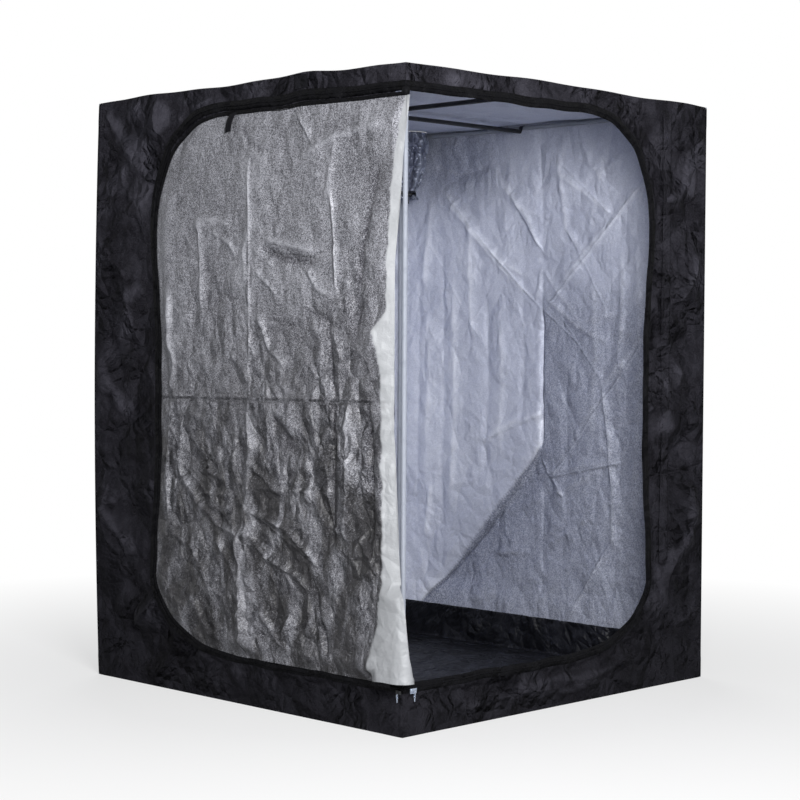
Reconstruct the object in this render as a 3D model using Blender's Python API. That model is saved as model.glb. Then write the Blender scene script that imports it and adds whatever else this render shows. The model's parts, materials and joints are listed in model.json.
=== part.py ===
"""An indoor grow tent: a steel pole frame under a zipped cloth cover.

The origin is the middle of the tent's footprint, on the ground. The front wall
faces -Y and the right wall faces +X. Both share one wrap-around door that meets
at the front right corner. Its front half is zipped shut. Its side half is
unzipped and folded back round the corner, so it lies over the front wall.
"""

import math

import bmesh
import bpy
from mathutils import Matrix, Vector

# Overall size
WIDTH = 1.500
DEPTH = 1.500
HEIGHT = 2.000

# Cloth and clearances
CLOTH = 0.002
SEAT_GAP = 0.0003  # between pieces that touch
OVERRUN = 0.030  # how far a cutter runs past what it cuts

# Steel frame
POLE_ACROSS = 0.016
POLE_WALL = 0.0008
LOWER_POST_TOP = 1.000
SPIGOT_LONG = 0.040
SPIGOT_ROOT = 0.006
SOCKET_WALL = 0.0012
SOCKET_REACH = 0.050
CORE_LIP = 0.0005

# Hanging bars, which hook over the top rails
LENGTHWISE_BAR_X = -0.090
LENGTHWISE_BAR_DROP = 0.0135
CROSSWISE_BAR_Y = -0.190
CROSSWISE_BAR_DROP = 0.0320
HOOK_THICK = 0.0012
HOOK_WIDE = 0.018
HOOK_ROOT = 0.030
HOOK_STANDOFF = 0.014
HOOK_TIP_DROP = 0.004

# Door openings, the same on the front and right walls
SIDE_MARGIN = 0.300  # cloth left between an opening and the far edge of its wall
SILL_HEIGHT = 0.141
TOP_BAND = 0.061
TOP_CORNER_ACROSS = 0.320
TOP_CORNER_DOWN = 0.370
LOW_CORNER_ACROSS = 0.450
LOW_CORNER_UP = 0.240
OPENING_WAIST = 0.030

# Zips
TAPE_WIDE = 0.018
TAPE_THICK = 0.0015
SLIDER_LONG = 0.022
SLIDER_TALL = 0.013
SLIDER_THICK = 0.004
SLIDER_CLEAR = 0.0015
FRONT_SLIDER_IN = 0.014
SIDE_SLIDER_IN = 0.043
CHEEK_THICK = 0.0015
CHEEK_OUT = 0.0045
CHEEK_TALL = 0.006
PIN_ACROSS = 0.0016
PIN_INSET = 0.0018
TAB_WIDE = 0.006
TAB_THICK = 0.0014
TAB_LONG = 0.026
TAB_EYE_WALL = 0.0012
TAB_SIDE_PLAY = 0.0008

# Door halves
DOOR_EDGE_GAP = 0.001
FRONT_EDGE_BACK = 0.047  # how far the zipped half's free edge is drawn back
SWING_OUT = 0.006  # how far the side half's pivot stands off both walls
SWING_GAP = 0.0005
FLAP_SHY = 0.030
FLAP_DROOP = 0.028
FLAP_SILL = 0.0045
FLAP_HEM = 0.012
FOLD_EDGE_OVER = 0.020
FOLD_EDGE_BOW = 0.060
FLAP_BILLOW = 0.016
FLAP_ROLL = 0.018
FLAP_ROLL_WIDE = 0.080
EDGE_FADE = 0.060

# Small sewn pieces
STRAP_WIDE = 0.014
STRAP_LONG = 0.060
STRAP_THICK = 0.002
STRAP_IN = 0.770
STRAP_TILT = math.radians(14)
PATCH_WIDE = 0.060
PATCH_TALL = 0.040
PATCH_THICK = 0.0015
PATCH_IN = 0.457
STORM_FLAP_WIDE = 0.045
STORM_FLAP_OUT = 0.050  # from the opening to the strip's near edge
STORM_FLAP_FOOT = 0.394
STORM_FLAP_HEAD = 0.035

# Wall folds, which leave the cloth flat along the frame
WALL_FOLD = 0.014
REAR_FOLD = 0.018
HELD_EDGE = 0.030

# Floor tray
TRAY_SHEET = 0.002
TRAY_TALL = 0.132
TRAY_CLEAR = 0.0015

# Duct sleeve in the roof
PORT_RADIUS = 0.075
PORT_FROM_LEFT = 0.150
PORT_FROM_REAR = 0.115
SLEEVE_LONG = 0.262
PLEATS = 7
CORD_ACROSS = 0.003
TAIL_LONG = 0.045
TAIL_SPREAD = 0.006
LOCK_ACROSS = 0.015
LOCK_LONG = 0.018
LOCK_DROP = 0.004
LOCK_WALL = 0.0018
BUTTON_OUT = 0.006
BUTTON_TRAVEL = 0.0035
CORD_FIT = 0.0003

# Intake vent in the left wall
VENT_WIDE = 0.300
VENT_TALL = 0.200
VENT_SILL = 0.250
VENT_LAP = 0.020
VENT_SHEET = 0.0015
VENT_PLAY = 0.0003

# How finely round shapes and cloth grids are divided
POLE_SIDES = 12
SLEEVE_SIDES = 28
CORD_SIDES = 8
ARC_STEPS = 5
WALL_ROWS = 18
REAR_COLUMNS = 14
MARGIN_COLUMNS = 6
DOOR_COLUMNS = 4
FLAP_COLUMNS = 21
SMOOTH_BELOW = math.radians(35)

# Heights of the door's side between its round corners, as shares from low to high
EDGE_SHARES = (0.14, 0.28, 0.42, 0.56, 0.70, 0.85)

# Creases, each from one point to another: across share, up share, across share,
# up share, half width share, rise share. Across runs from the front right corner.
FLAP_CREASE_SHARES = (
    (0.62, 0.02, 0.61, 0.98, 0.060, 0.80),
    (0.27, 0.06, 0.25, 0.94, 0.070, 0.55),
    (0.93, 0.18, 0.90, 0.80, 0.070, 0.75),
    (0.08, 0.49, 0.92, 0.47, 0.055, 0.55),
    (0.20, 0.40, 0.55, 0.22, 0.060, 0.90),
    (0.30, 0.14, 0.58, 0.40, 0.055, 0.70),
    (0.66, 0.34, 0.86, 0.12, 0.060, 0.85),
    (0.14, 0.10, 0.34, 0.30, 0.060, 0.75),
    (0.38, 0.80, 0.56, 0.66, 0.065, 0.90),
    (0.68, 0.90, 0.84, 0.62, 0.060, 0.60),
)
WALL_CREASE_SHARES = (
    (0.93, 0.96, 0.84, 0.74, 0.035, 0.80),
    (0.95, 0.84, 0.86, 0.60, 0.030, 0.60),
    (0.97, 0.60, 0.86, 0.52, 0.030, 0.70),
    (0.88, 0.46, 0.96, 0.34, 0.030, 0.80),
    (0.96, 0.22, 0.84, 0.10, 0.035, 1.00),
)
REAR_CREASE_SHARES = (
    (0.51, 0.94, 0.51, 0.37, 0.050, 0.80),
    (0.51, 0.37, 0.78, 0.15, 0.060, 1.00),
    (0.64, 0.86, 0.52, 0.70, 0.050, 0.80),
    (0.22, 0.89, 0.42, 0.60, 0.050, 0.70),
    (0.46, 0.58, 0.24, 0.50, 0.050, 0.75),
    (0.36, 0.42, 0.56, 0.30, 0.050, 0.80),
    (0.30, 0.46, 0.30, 0.28, 0.045, 0.60),
    (0.18, 0.36, 0.38, 0.18, 0.050, 0.60),
)

# Sleeve outline from the roof down: depth share, radius share, pleat share
SLEEVE_SHARES = (
    (0.00, 1.00, 0.00),
    (0.18, 1.03, 0.03),
    (0.42, 0.92, 0.07),
    (0.64, 0.72, 0.10),
    (0.80, 0.46, 0.10),
    (0.865, 0.38, 0.04),
    (0.905, 0.38, 0.04),
    (0.95, 0.41, 0.08),
    (1.00, 0.45, 0.10),
)
NECK_DEPTH_SHARE = 0.885
NECK_RADIUS_SHARE = 0.38
NECK_PLEAT_SHARE = 0.04

# Sizes that follow
POLE_R = POLE_ACROSS / 2
SOCKET_R = POLE_R + SEAT_GAP + SOCKET_WALL
CORE_HALF = SOCKET_R + CORE_LIP
FRAME_INSET = CLOTH + SEAT_GAP + CORE_HALF
FRAME_X = WIDTH / 2 - FRAME_INSET
FRAME_Y = DEPTH / 2 - FRAME_INSET
TOP_RAIL_Z = HEIGHT - FRAME_INSET
OPENING_TOP = HEIGHT - TOP_BAND
FLAP_BOTTOM = SILL_HEIGHT + TAPE_WIDE / 2 + FLAP_SILL
FLAP_TOP = OPENING_TOP - TAPE_WIDE / 2 - FLAP_DROOP
SLIDER_Z = FLAP_BOTTOM - FLAP_HEM - SLIDER_CLEAR - SLIDER_TALL / 2
TAPE_FACE = SEAT_GAP + TAPE_THICK

# Colour, roughness and metallic of each kind of surface
LOOKS = {
    "outer_cloth": ((0.010, 0.009, 0.012), 0.55, 0.0),
    "foil_cloth": ((0.42, 0.42, 0.44), 0.38, 0.6),
    "lining": ((0.50, 0.52, 0.60), 0.40, 0.5),
    "webbing": ((0.008, 0.008, 0.009), 0.80, 0.0),
    "painted_steel": ((0.75, 0.78, 0.82), 0.35, 0.0),
    "black_steel": ((0.020, 0.020, 0.022), 0.45, 0.0),
    "zinc": ((0.60, 0.61, 0.63), 0.35, 1.0),
    "tray_cloth": ((0.012, 0.012, 0.015), 0.50, 0.0),
    "plastic": ((0.015, 0.015, 0.016), 0.45, 0.0),
    "net": ((0.020, 0.020, 0.022), 0.70, 0.0),
}


def clear_scene():
    for old in list(bpy.data.objects):
        bpy.data.objects.remove(old, do_unlink=True)


def add_object(name, mesh, at=(0, 0, 0), turn=(0, 0, 0)):
    obj = bpy.data.objects.new(name, mesh)
    obj.location = at
    obj.rotation_euler = turn
    bpy.context.scene.collection.objects.link(obj)
    return obj


def mesh_of(name, bm):
    bmesh.ops.recalc_face_normals(bm, faces=bm.faces[:])
    mesh = bpy.data.meshes.new(name)
    bm.to_mesh(mesh)
    bm.free()
    return mesh


def coat(obj, look):
    """Gives an object a material of its own."""
    colour, roughness, metallic = LOOKS[look]
    material = bpy.data.materials.new(f"{obj.name}_{look}")
    material.use_nodes = True
    shader = material.node_tree.nodes["Principled BSDF"]
    shader.inputs["Base Color"].default_value = (*colour, 1)
    shader.inputs["Roughness"].default_value = roughness
    shader.inputs["Metallic"].default_value = metallic
    obj.data.materials.clear()
    obj.data.materials.append(material)


def piece(name, bm, look, at=(0, 0, 0), turn=(0, 0, 0), smooth=False):
    """A finished object from a bmesh, in a material of its own."""
    mesh = mesh_of(name, bm)
    if smooth:
        mesh.shade_smooth()
        mesh.set_sharp_from_angle(angle=SMOOTH_BELOW)
    obj = add_object(name, mesh, at, turn)
    coat(obj, look)
    return obj


def combine(obj, bm, operation):
    """Joins another shape to an object, or cuts it away, with a Boolean."""
    helper = add_object(f"{obj.name}_{operation.lower()}", mesh_of(obj.name, bm))
    helper.parent = obj
    helper.hide_render = True
    helper.display_type = "WIRE"
    modifier = obj.modifiers.new(operation.title(), "BOOLEAN")
    modifier.object = helper
    modifier.operation = operation
    modifier.solver = "EXACT"


def block(bm, low, high):
    """Adds a box between two corners."""
    low, high = Vector(low), Vector(high)
    place = Matrix.Translation((low + high) / 2) @ Matrix.Diagonal((*(high - low), 1))
    bmesh.ops.create_cube(bm, size=1, matrix=place)
    return bm


def block_between(low, high):
    return block(bmesh.new(), low, high)


def rod(bm, radius, start, end, sides=POLE_SIDES):
    """Adds a solid cylinder from one point to another."""
    start, end = Vector(start), Vector(end)
    along = end - start
    turn = Vector((0, 0, 1)).rotation_difference(along).to_matrix().to_4x4()
    bmesh.ops.create_cone(
        bm,
        cap_ends=True,
        segments=sides,
        radius1=radius,
        radius2=radius,
        depth=along.length,
        matrix=Matrix.Translation((start + end) / 2) @ turn,
    )
    return bm


def turned(profile, sides):
    """Spins a closed (radius, height) profile round Z."""
    bm = bmesh.new()
    points = [bm.verts.new((radius, 0, height)) for radius, height in profile]
    for first, second in zip(points, points[1:] + points[:1]):
        bm.edges.new((first, second))
    bmesh.ops.spin(
        bm,
        geom=bm.verts[:] + bm.edges[:],
        axis=(0, 0, 1),
        cent=(0, 0, 0),
        angle=math.tau,
        steps=sides,
        use_merge=True,
    )
    return bm


def tube_profile(low, high):
    """A plain pole's wall."""
    inner = POLE_R - POLE_WALL
    return [(POLE_R, low), (POLE_R, high), (inner, high), (inner, low)]


def sheet(name, look, columns, rows, place):
    """A cloth sheet with a thickness, laid out by a function of two shares."""
    bm = bmesh.new()
    bmesh.ops.create_grid(bm, x_segments=columns, y_segments=rows, size=0.5)
    for vert in bm.verts:
        vert.co = place(vert.co.x + 0.5, vert.co.y + 0.5)
    mesh = mesh_of(name, bm)
    mesh.shade_smooth()
    obj = add_object(name, mesh)
    coat(obj, look)
    thick = obj.modifiers.new("Cloth", "SOLIDIFY")
    thick.thickness = CLOTH
    thick.offset = 0
    return obj


def segment_distance(point, start, end):
    run = end - start
    share = max(0, min(1, (point - start).dot(run) / run.length_squared))
    return (point - start - run * share).length


def crease_rise(across, up, crease_shares, wide, tall):
    """How far the tallest crease lifts the cloth here, as a share."""
    rise = 0
    for from_across, from_up, to_across, to_up, half, height in crease_shares:
        start = Vector((from_across * wide, from_up * tall))
        end = Vector((to_across * wide, to_up * tall))
        near = segment_distance(Vector((across, up)), start, end) / (half * wide)
        if near < 1:
            rise = max(rise, height * (1 - near**2) ** 2)
    return rise


def front_point(along, z, out):
    """A point off the front wall: along runs left from the front right corner."""
    return Vector((WIDTH / 2 - along, -DEPTH / 2 - out, z))


def side_point(along, z, out):
    """A point off the right wall: along runs back from the front right corner."""
    return Vector((WIDTH / 2 + out, -DEPTH / 2 + along, z))


def opening_reach(z, reach, bottom, top):
    """How far a door's outline lies from the corner at this height."""
    low_centre = bottom + LOW_CORNER_UP
    top_centre = top - TOP_CORNER_DOWN
    if z > top_centre:
        share = min(1, (z - top_centre) / TOP_CORNER_DOWN)
        return reach - TOP_CORNER_ACROSS * (1 - math.sqrt(1 - share**2))
    if z < low_centre:
        share = min(1, (low_centre - z) / LOW_CORNER_UP)
        return reach - LOW_CORNER_ACROSS * (1 - math.sqrt(1 - share**2))
    share = (z - low_centre) / (top_centre - low_centre)
    return reach - OPENING_WAIST * math.sin(math.pi * share)


def outline_heights(bottom, top):
    """The heights at which a door's outline has its points, from low to high."""
    turns = [math.pi / 2 * step / ARC_STEPS for step in range(ARC_STEPS + 1)]
    low_centre = bottom + LOW_CORNER_UP
    top_centre = top - TOP_CORNER_DOWN
    heights = [low_centre - LOW_CORNER_UP * math.cos(turn) for turn in turns]
    heights += [low_centre + (top_centre - low_centre) * share for share in EDGE_SHARES]
    heights += [top_centre + TOP_CORNER_DOWN * math.sin(turn) for turn in turns]
    return heights


def door_outline(start, reach, bottom, top):
    """A door's outline from the corner's foot, round the far side, to its head."""
    points = [Vector((start, bottom))]
    for z in outline_heights(bottom, top):
        points.append(Vector((opening_reach(z, reach, bottom, top), z)))
    return points + [Vector((start, top))]


def offset_points(points, distance):
    """The same outline moved outwards."""
    moved = []
    for index, point in enumerate(points):
        before = points[max(index - 1, 0)]
        after = points[min(index + 1, len(points) - 1)]
        run = (after - before).normalized()
        moved.append(point + Vector((run.y, -run.x)) * distance)
    return moved


def strip(inner_points, outer_points, point_of, low, high):
    """A flat band between two outlines, from one standoff to another."""
    bm = bmesh.new()
    ring = [bm.verts.new(point_of(p.x, p.y, low)) for p in inner_points]
    edges = [bm.edges.new(pair) for pair in zip(ring, ring[1:])]
    grown = bmesh.ops.extrude_edge_only(bm, edges=edges)["geom"]
    fresh = [item for item in grown if isinstance(item, bmesh.types.BMVert)]
    nearest = {tuple(vert.co): point for vert, point in zip(ring, outer_points)}
    for vert in fresh:
        point = nearest[tuple(vert.co)]
        vert.co = point_of(point.x, point.y, low)
    lift = point_of(0, 0, high) - point_of(0, 0, low)
    solid = bmesh.ops.extrude_face_region(bm, geom=bm.faces[:])["geom"]
    raised = [item for item in solid if isinstance(item, bmesh.types.BMVert)]
    bmesh.ops.translate(bm, verts=raised, vec=lift)
    return bm


def make_posts():
    """Each corner post is two tubes: the lower one's spigot fits the upper one."""
    spigot_r = POLE_R - POLE_WALL - SEAT_GAP
    foot = FRAME_INSET + CORE_HALF + SEAT_GAP
    head = TOP_RAIL_Z - CORE_HALF - SEAT_GAP
    inner = POLE_R - POLE_WALL
    shoulder = LOWER_POST_TOP - SPIGOT_ROOT
    lower = [(POLE_R, foot), (POLE_R, LOWER_POST_TOP), (spigot_r, LOWER_POST_TOP)]
    lower += [(spigot_r, LOWER_POST_TOP + SPIGOT_LONG)]
    lower += [(spigot_r - POLE_WALL, LOWER_POST_TOP + SPIGOT_LONG)]
    lower += [(spigot_r - POLE_WALL, shoulder), (inner, shoulder), (inner, foot)]
    upper = tube_profile(LOWER_POST_TOP + SEAT_GAP, head)
    for corner, x_side, y_side in CORNERS:
        at = (FRAME_X * x_side, FRAME_Y * y_side, 0)
        low_tube = turned(lower, POLE_SIDES)
        piece(f"lower_post_{corner}", low_tube, "painted_steel", at, smooth=True)
        high_tube = turned(upper, POLE_SIDES)
        piece(f"upper_post_{corner}", high_tube, "painted_steel", at, smooth=True)


def make_rails():
    """Four base rails and four top rails, each between two corner pieces."""
    end = CORE_HALF + SEAT_GAP
    across = (0, math.pi / 2, 0)
    back = (-math.pi / 2, 0, 0)
    places = (
        ("front", (-FRAME_X, -FRAME_Y), across, FRAME_X),
        ("rear", (-FRAME_X, FRAME_Y), across, FRAME_X),
        ("left", (-FRAME_X, -FRAME_Y), back, FRAME_Y),
        ("right", (FRAME_X, -FRAME_Y), back, FRAME_Y),
    )
    for level, z in (("base", FRAME_INSET), ("top", TOP_RAIL_Z)):
        for side, start, turn, half in places:
            tube = turned(tube_profile(end, half * 2 - end), POLE_SIDES)
            name = f"{level}_rail_{side}"
            piece(name, tube, "painted_steel", (*start, z), turn, smooth=True)


def corner_mesh():
    """A three-way corner piece: a core with three sockets, facing +X, +Y, +Z."""
    core_half = (CORE_HALF, CORE_HALF, CORE_HALF)
    core = block_between([-half for half in core_half], core_half)
    obj = add_object("corner_pattern", mesh_of("corner_pattern", core))
    arms, bores = bmesh.new(), bmesh.new()
    arm_root = (SOCKET_R + CORE_HALF) / 2
    for axis in (Vector((1, 0, 0)), Vector((0, 1, 0)), Vector((0, 0, 1))):
        rod(arms, SOCKET_R, axis * arm_root, axis * SOCKET_REACH)
        bore_end = axis * (SOCKET_REACH + OVERRUN)
        rod(bores, POLE_R + SEAT_GAP, axis * CORE_HALF, bore_end)
    combine(obj, arms, "UNION")
    combine(obj, bores, "DIFFERENCE")
    bpy.context.view_layer.update()
    graph = bpy.context.evaluated_depsgraph_get()
    mesh = bpy.data.meshes.new_from_object(obj.evaluated_get(graph))
    for helper in list(obj.children) + [obj]:
        bpy.data.objects.remove(helper, do_unlink=True)
    return mesh


def make_corners():
    """Eight corner pieces from one pattern, turned to face inwards."""
    pattern = corner_mesh()
    base_turns = {"front_left": 0, "front_right": 1, "rear_right": 2, "rear_left": 3}
    top_turns = {"rear_left": 0, "front_left": 1, "front_right": 2, "rear_right": 3}
    for corner, x_side, y_side in CORNERS:
        at = (FRAME_X * x_side, FRAME_Y * y_side)
        quarter = math.pi / 2
        base_turn = (0, 0, base_turns[corner] * quarter)
        top_turn = (math.pi, 0, top_turns[corner] * quarter)
        for level, z, turn in (
            ("base", FRAME_INSET, base_turn),
            ("top", TOP_RAIL_Z, top_turn),
        ):
            obj = add_object(f"{level}_corner_{corner}", pattern.copy(), (*at, z), turn)
            coat(obj, "painted_steel")


def hook_strip(half_span, rise):
    """A strap over the rail, in the plane of the bar, at the bar's far end."""
    bend = (POLE_R + SEAT_GAP) / math.cos(math.pi / POLE_SIDES) + HOOK_THICK / 2
    path = [Vector((half_span - HOOK_STANDOFF - HOOK_ROOT, 0))]
    path += [Vector((half_span - HOOK_STANDOFF, 0))]
    for step in range(POLE_SIDES // 2 + 1):
        turn = math.pi - math.pi * step / (POLE_SIDES // 2)
        arc = Vector((math.cos(turn), math.sin(turn))) * bend
        path.append(Vector((half_span, rise)) + arc)
    path.append(path[-1] + Vector((0, -HOOK_TIP_DROP)))
    inner = offset_points(path, HOOK_THICK / 2)
    outer = offset_points(path, -HOOK_THICK / 2)
    return inner, outer


def make_hanging_bars():
    """Two bars cross under the roof, and their hooks ride on the top rails."""
    bars = (
        ("lengthwise", FRAME_Y, LENGTHWISE_BAR_DROP, (LENGTHWISE_BAR_X, 0), math.pi / 2),
        ("crosswise", FRAME_X, CROSSWISE_BAR_DROP, (0, CROSSWISE_BAR_Y), 0),
    )
    for name, half_span, drop, at, turn in bars:
        tube = bmesh.new()
        inner_r = POLE_R - POLE_WALL
        half_tube = half_span - HOOK_STANDOFF
        rod(tube, POLE_R, (-half_tube, 0, 0), (half_tube, 0, 0))
        place = (*at, TOP_RAIL_Z - drop)
        bar = piece(f"hanging_bar_{name}", tube, "black_steel", place, (0, 0, turn))
        bore = bmesh.new()
        bore_half = half_tube + OVERRUN
        rod(bore, inner_r, (-bore_half, 0, 0), (bore_half, 0, 0))
        combine(bar, bore, "DIFFERENCE")
        inner, outer = hook_strip(half_span, drop)
        for side in (1, -1):

            def hook_point(along, up, out, side=side):
                return Vector((along * side, out, up))

            half_wide = HOOK_WIDE / 2
            hook = strip(inner, outer, hook_point, -half_wide, half_wide)
            combine(bar, hook, "UNION")


def stations(low, high, count):
    """Even grid places with one more along each edge, where the frame holds the cloth."""
    near, far = low + HELD_EDGE, high - HELD_EDGE
    return [low] + [near + (far - near) * step / count for step in range(count + 1)] + [high]


def frame_fade(across, up, wide):
    """Nought where the frame holds a wall's cloth, and one well inside."""
    inset = min(across, wide - across, up, HEIGHT - up) - HELD_EDGE
    return min(1, max(0, inset) / EDGE_FADE)


def make_door_wall(name, point_of, wide, trim):
    """A wall with a door opening that runs out at the front right corner."""
    reach = wide - SIDE_MARGIN
    along_stations = [trim, reach / 2] + stations(reach, wide - trim, MARGIN_COLUMNS)
    up_stations = stations(CLOTH + SEAT_GAP, HEIGHT - CLOTH - SEAT_GAP, WALL_ROWS)
    columns, rows = len(along_stations) - 1, len(up_stations) - 1

    def place(u, v):
        along = along_stations[round(u * columns)]
        z = up_stations[round(v * rows)]
        rise = crease_rise(along, z, WALL_CREASE_SHARES, wide, HEIGHT)
        fold = rise * WALL_FOLD * frame_fade(along, z, wide)
        return point_of(along, z, -CLOTH / 2 - fold)

    wall = sheet(name, "outer_cloth", columns, rows, place)
    outline = door_outline(-OVERRUN, reach, SILL_HEIGHT, OPENING_TOP)
    cutter = bmesh.new()
    face = cutter.faces.new([cutter.verts.new(point_of(p.x, p.y, OVERRUN)) for p in outline])
    deep = bmesh.ops.extrude_face_region(cutter, geom=[face])["geom"]
    moved = [item for item in deep if isinstance(item, bmesh.types.BMVert)]
    inward = point_of(0, 0, -OVERRUN) - point_of(0, 0, OVERRUN)
    bmesh.ops.translate(cutter, verts=moved, vec=inward)
    combine(wall, cutter, "DIFFERENCE")


def make_cover():
    """Roof, base and four walls. The walls stand between the roof and the base."""
    half_x, half_y = WIDTH / 2, DEPTH / 2
    base = block_between((-half_x, -half_y, 0), (half_x, half_y, CLOTH))
    piece("base_panel", base, "outer_cloth")
    roof = block_between((-half_x, -half_y, HEIGHT - CLOTH), (half_x, half_y, HEIGHT))
    roof = piece("roof_panel", roof, "outer_cloth")
    hole = bmesh.new()
    x, y = port_centre()
    hole_low, hole_high = HEIGHT - OVERRUN, HEIGHT + OVERRUN
    rod(hole, PORT_RADIUS, (x, y, hole_low), (x, y, hole_high), SLEEVE_SIDES)
    combine(roof, hole, "DIFFERENCE")

    side_trim = CLOTH + SEAT_GAP
    make_door_wall("front_wall", front_point, WIDTH, 0)
    make_door_wall("right_wall", side_point, DEPTH, side_trim)

    low, high = CLOTH + SEAT_GAP, HEIGHT - CLOTH - SEAT_GAP
    across_stations = stations(0, WIDTH, REAR_COLUMNS)
    up_stations = stations(low, high, WALL_ROWS)
    columns, rows = len(across_stations) - 1, len(up_stations) - 1

    def rear_place(u, v):
        across = across_stations[round(u * columns)]
        z = up_stations[round(v * rows)]
        rise = crease_rise(across, z, REAR_CREASE_SHARES, WIDTH, HEIGHT)
        fold = rise * REAR_FOLD * frame_fade(across, z, WIDTH)
        return Vector((half_x - across, half_y - CLOTH / 2 - fold, z))

    sheet("rear_wall", "outer_cloth", columns, rows, rear_place)

    inner_y = half_y - side_trim
    left = block_between((-half_x, -inner_y, low), (-half_x + CLOTH, inner_y, high))
    left = piece("left_wall", left, "outer_cloth")
    half_vent = VENT_WIDE / 2
    vent_low = (-half_x - OVERRUN, -half_vent, VENT_SILL)
    vent_high = (-half_x + OVERRUN, half_vent, VENT_SILL + VENT_TALL)
    combine(left, block_between(vent_low, vent_high), "DIFFERENCE")


def make_door():
    """The front half is flat and zipped shut. The side half is folded back."""
    heights = outline_heights(FLAP_BOTTOM, FLAP_TOP)
    rows = len(heights) - 1
    shut_reach = WIDTH - SIDE_MARGIN - DOOR_EDGE_GAP
    shut_bottom, shut_top = SILL_HEIGHT + DOOR_EDGE_GAP, OPENING_TOP - DOOR_EDGE_GAP
    shut_heights = outline_heights(shut_bottom, shut_top)

    def shut_place(u, v):
        z = shut_heights[round(v * rows)]
        far = opening_reach(z, shut_reach, shut_bottom, shut_top)
        along = FRONT_EDGE_BACK + (far - FRONT_EDGE_BACK) * u
        return front_point(along, z, -CLOTH / 2)

    sheet("door_front_half", "outer_cloth", DOOR_COLUMNS, rows, shut_place)

    reach = DEPTH - SIDE_MARGIN - FLAP_SHY
    tall = FLAP_TOP - FLAP_BOTTOM

    def flap_place(u, v):
        z = heights[round(v * rows)]
        far = opening_reach(z, reach, FLAP_BOTTOM, FLAP_TOP)
        bow = math.sin(math.pi * (z - FLAP_BOTTOM) / tall)
        near = -FOLD_EDGE_OVER + FOLD_EDGE_BOW * bow
        along = near + (far - near) * u
        inset = min(far - along, z - FLAP_BOTTOM, FLAP_TOP - z, along + FOLD_EDGE_OVER)
        fade = min(1, max(0, inset) / EDGE_FADE)
        crease = crease_rise(along, z - FLAP_BOTTOM, FLAP_CREASE_SHARES, reach, tall)
        run = (along - near) / FLAP_ROLL_WIDE
        roll = FLAP_ROLL * bow * run * math.exp(1 - run)
        lift = max(crease * FLAP_BILLOW * fade, roll * (1 - u))
        return front_point(along, z, SWING_OUT + lift)

    flap = sheet("door_side_half", "foil_cloth", FLAP_COLUMNS, rows, flap_place)
    move_origin(flap, pivot_point())


def pivot_point():
    """Where the upright axis of the door's side half meets the ground."""
    return Vector((WIDTH / 2 + SWING_OUT, -DEPTH / 2 - SWING_OUT, 0))


def move_origin(obj, origin):
    """Moves an object's origin and leaves its mesh where it stands."""
    obj.data.transform(Matrix.Translation(-Vector(origin)))
    obj.location = origin
    bpy.context.view_layer.update()
    for helper in obj.children:
        helper.matrix_parent_inverse = obj.matrix_world.inverted()


def make_zips():
    """A tape round each opening and one round the folded half's free edge."""
    half = TAPE_WIDE / 2
    wrap = SEAT_GAP + TAPE_THICK
    for side, point_of, wide, start in (
        ("front", front_point, WIDTH, -wrap),
        ("side", side_point, DEPTH, 0),
    ):
        reach = wide - SIDE_MARGIN
        outline = door_outline(start, reach, SILL_HEIGHT, OPENING_TOP)
        inner, outer = offset_points(outline, -half), offset_points(outline, half)
        tape = strip(inner, outer, point_of, SEAT_GAP, TAPE_FACE)
        piece(f"{side}_zip_tape", tape, "webbing")

    reach = DEPTH - SIDE_MARGIN - FLAP_SHY
    outline = door_outline(-SWING_OUT, reach, FLAP_BOTTOM, FLAP_TOP)
    inner, outer = offset_points(outline, SEAT_GAP), offset_points(outline, FLAP_HEM)
    hem_low, hem_high = SWING_OUT - CLOTH / 2, SWING_OUT + CLOTH / 2
    hem = strip(inner, outer, front_point, hem_low, hem_high)
    tape = piece("flap_zip_tape", hem, "webbing")
    axis = pivot_point()
    bead_r = SWING_OUT - SWING_GAP
    top_bead = (FLAP_TOP + SEAT_GAP, OPENING_TOP - half - SEAT_GAP)
    low_bead = (SILL_HEIGHT + half + SEAT_GAP, FLAP_BOTTOM - SEAT_GAP)
    for low, high in (top_bead, low_bead):
        bead = rod(bmesh.new(), bead_r, axis + Vector((0, 0, low)), axis + Vector((0, 0, high)))
        combine(tape, bead, "UNION")
    move_origin(tape, axis)


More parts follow.
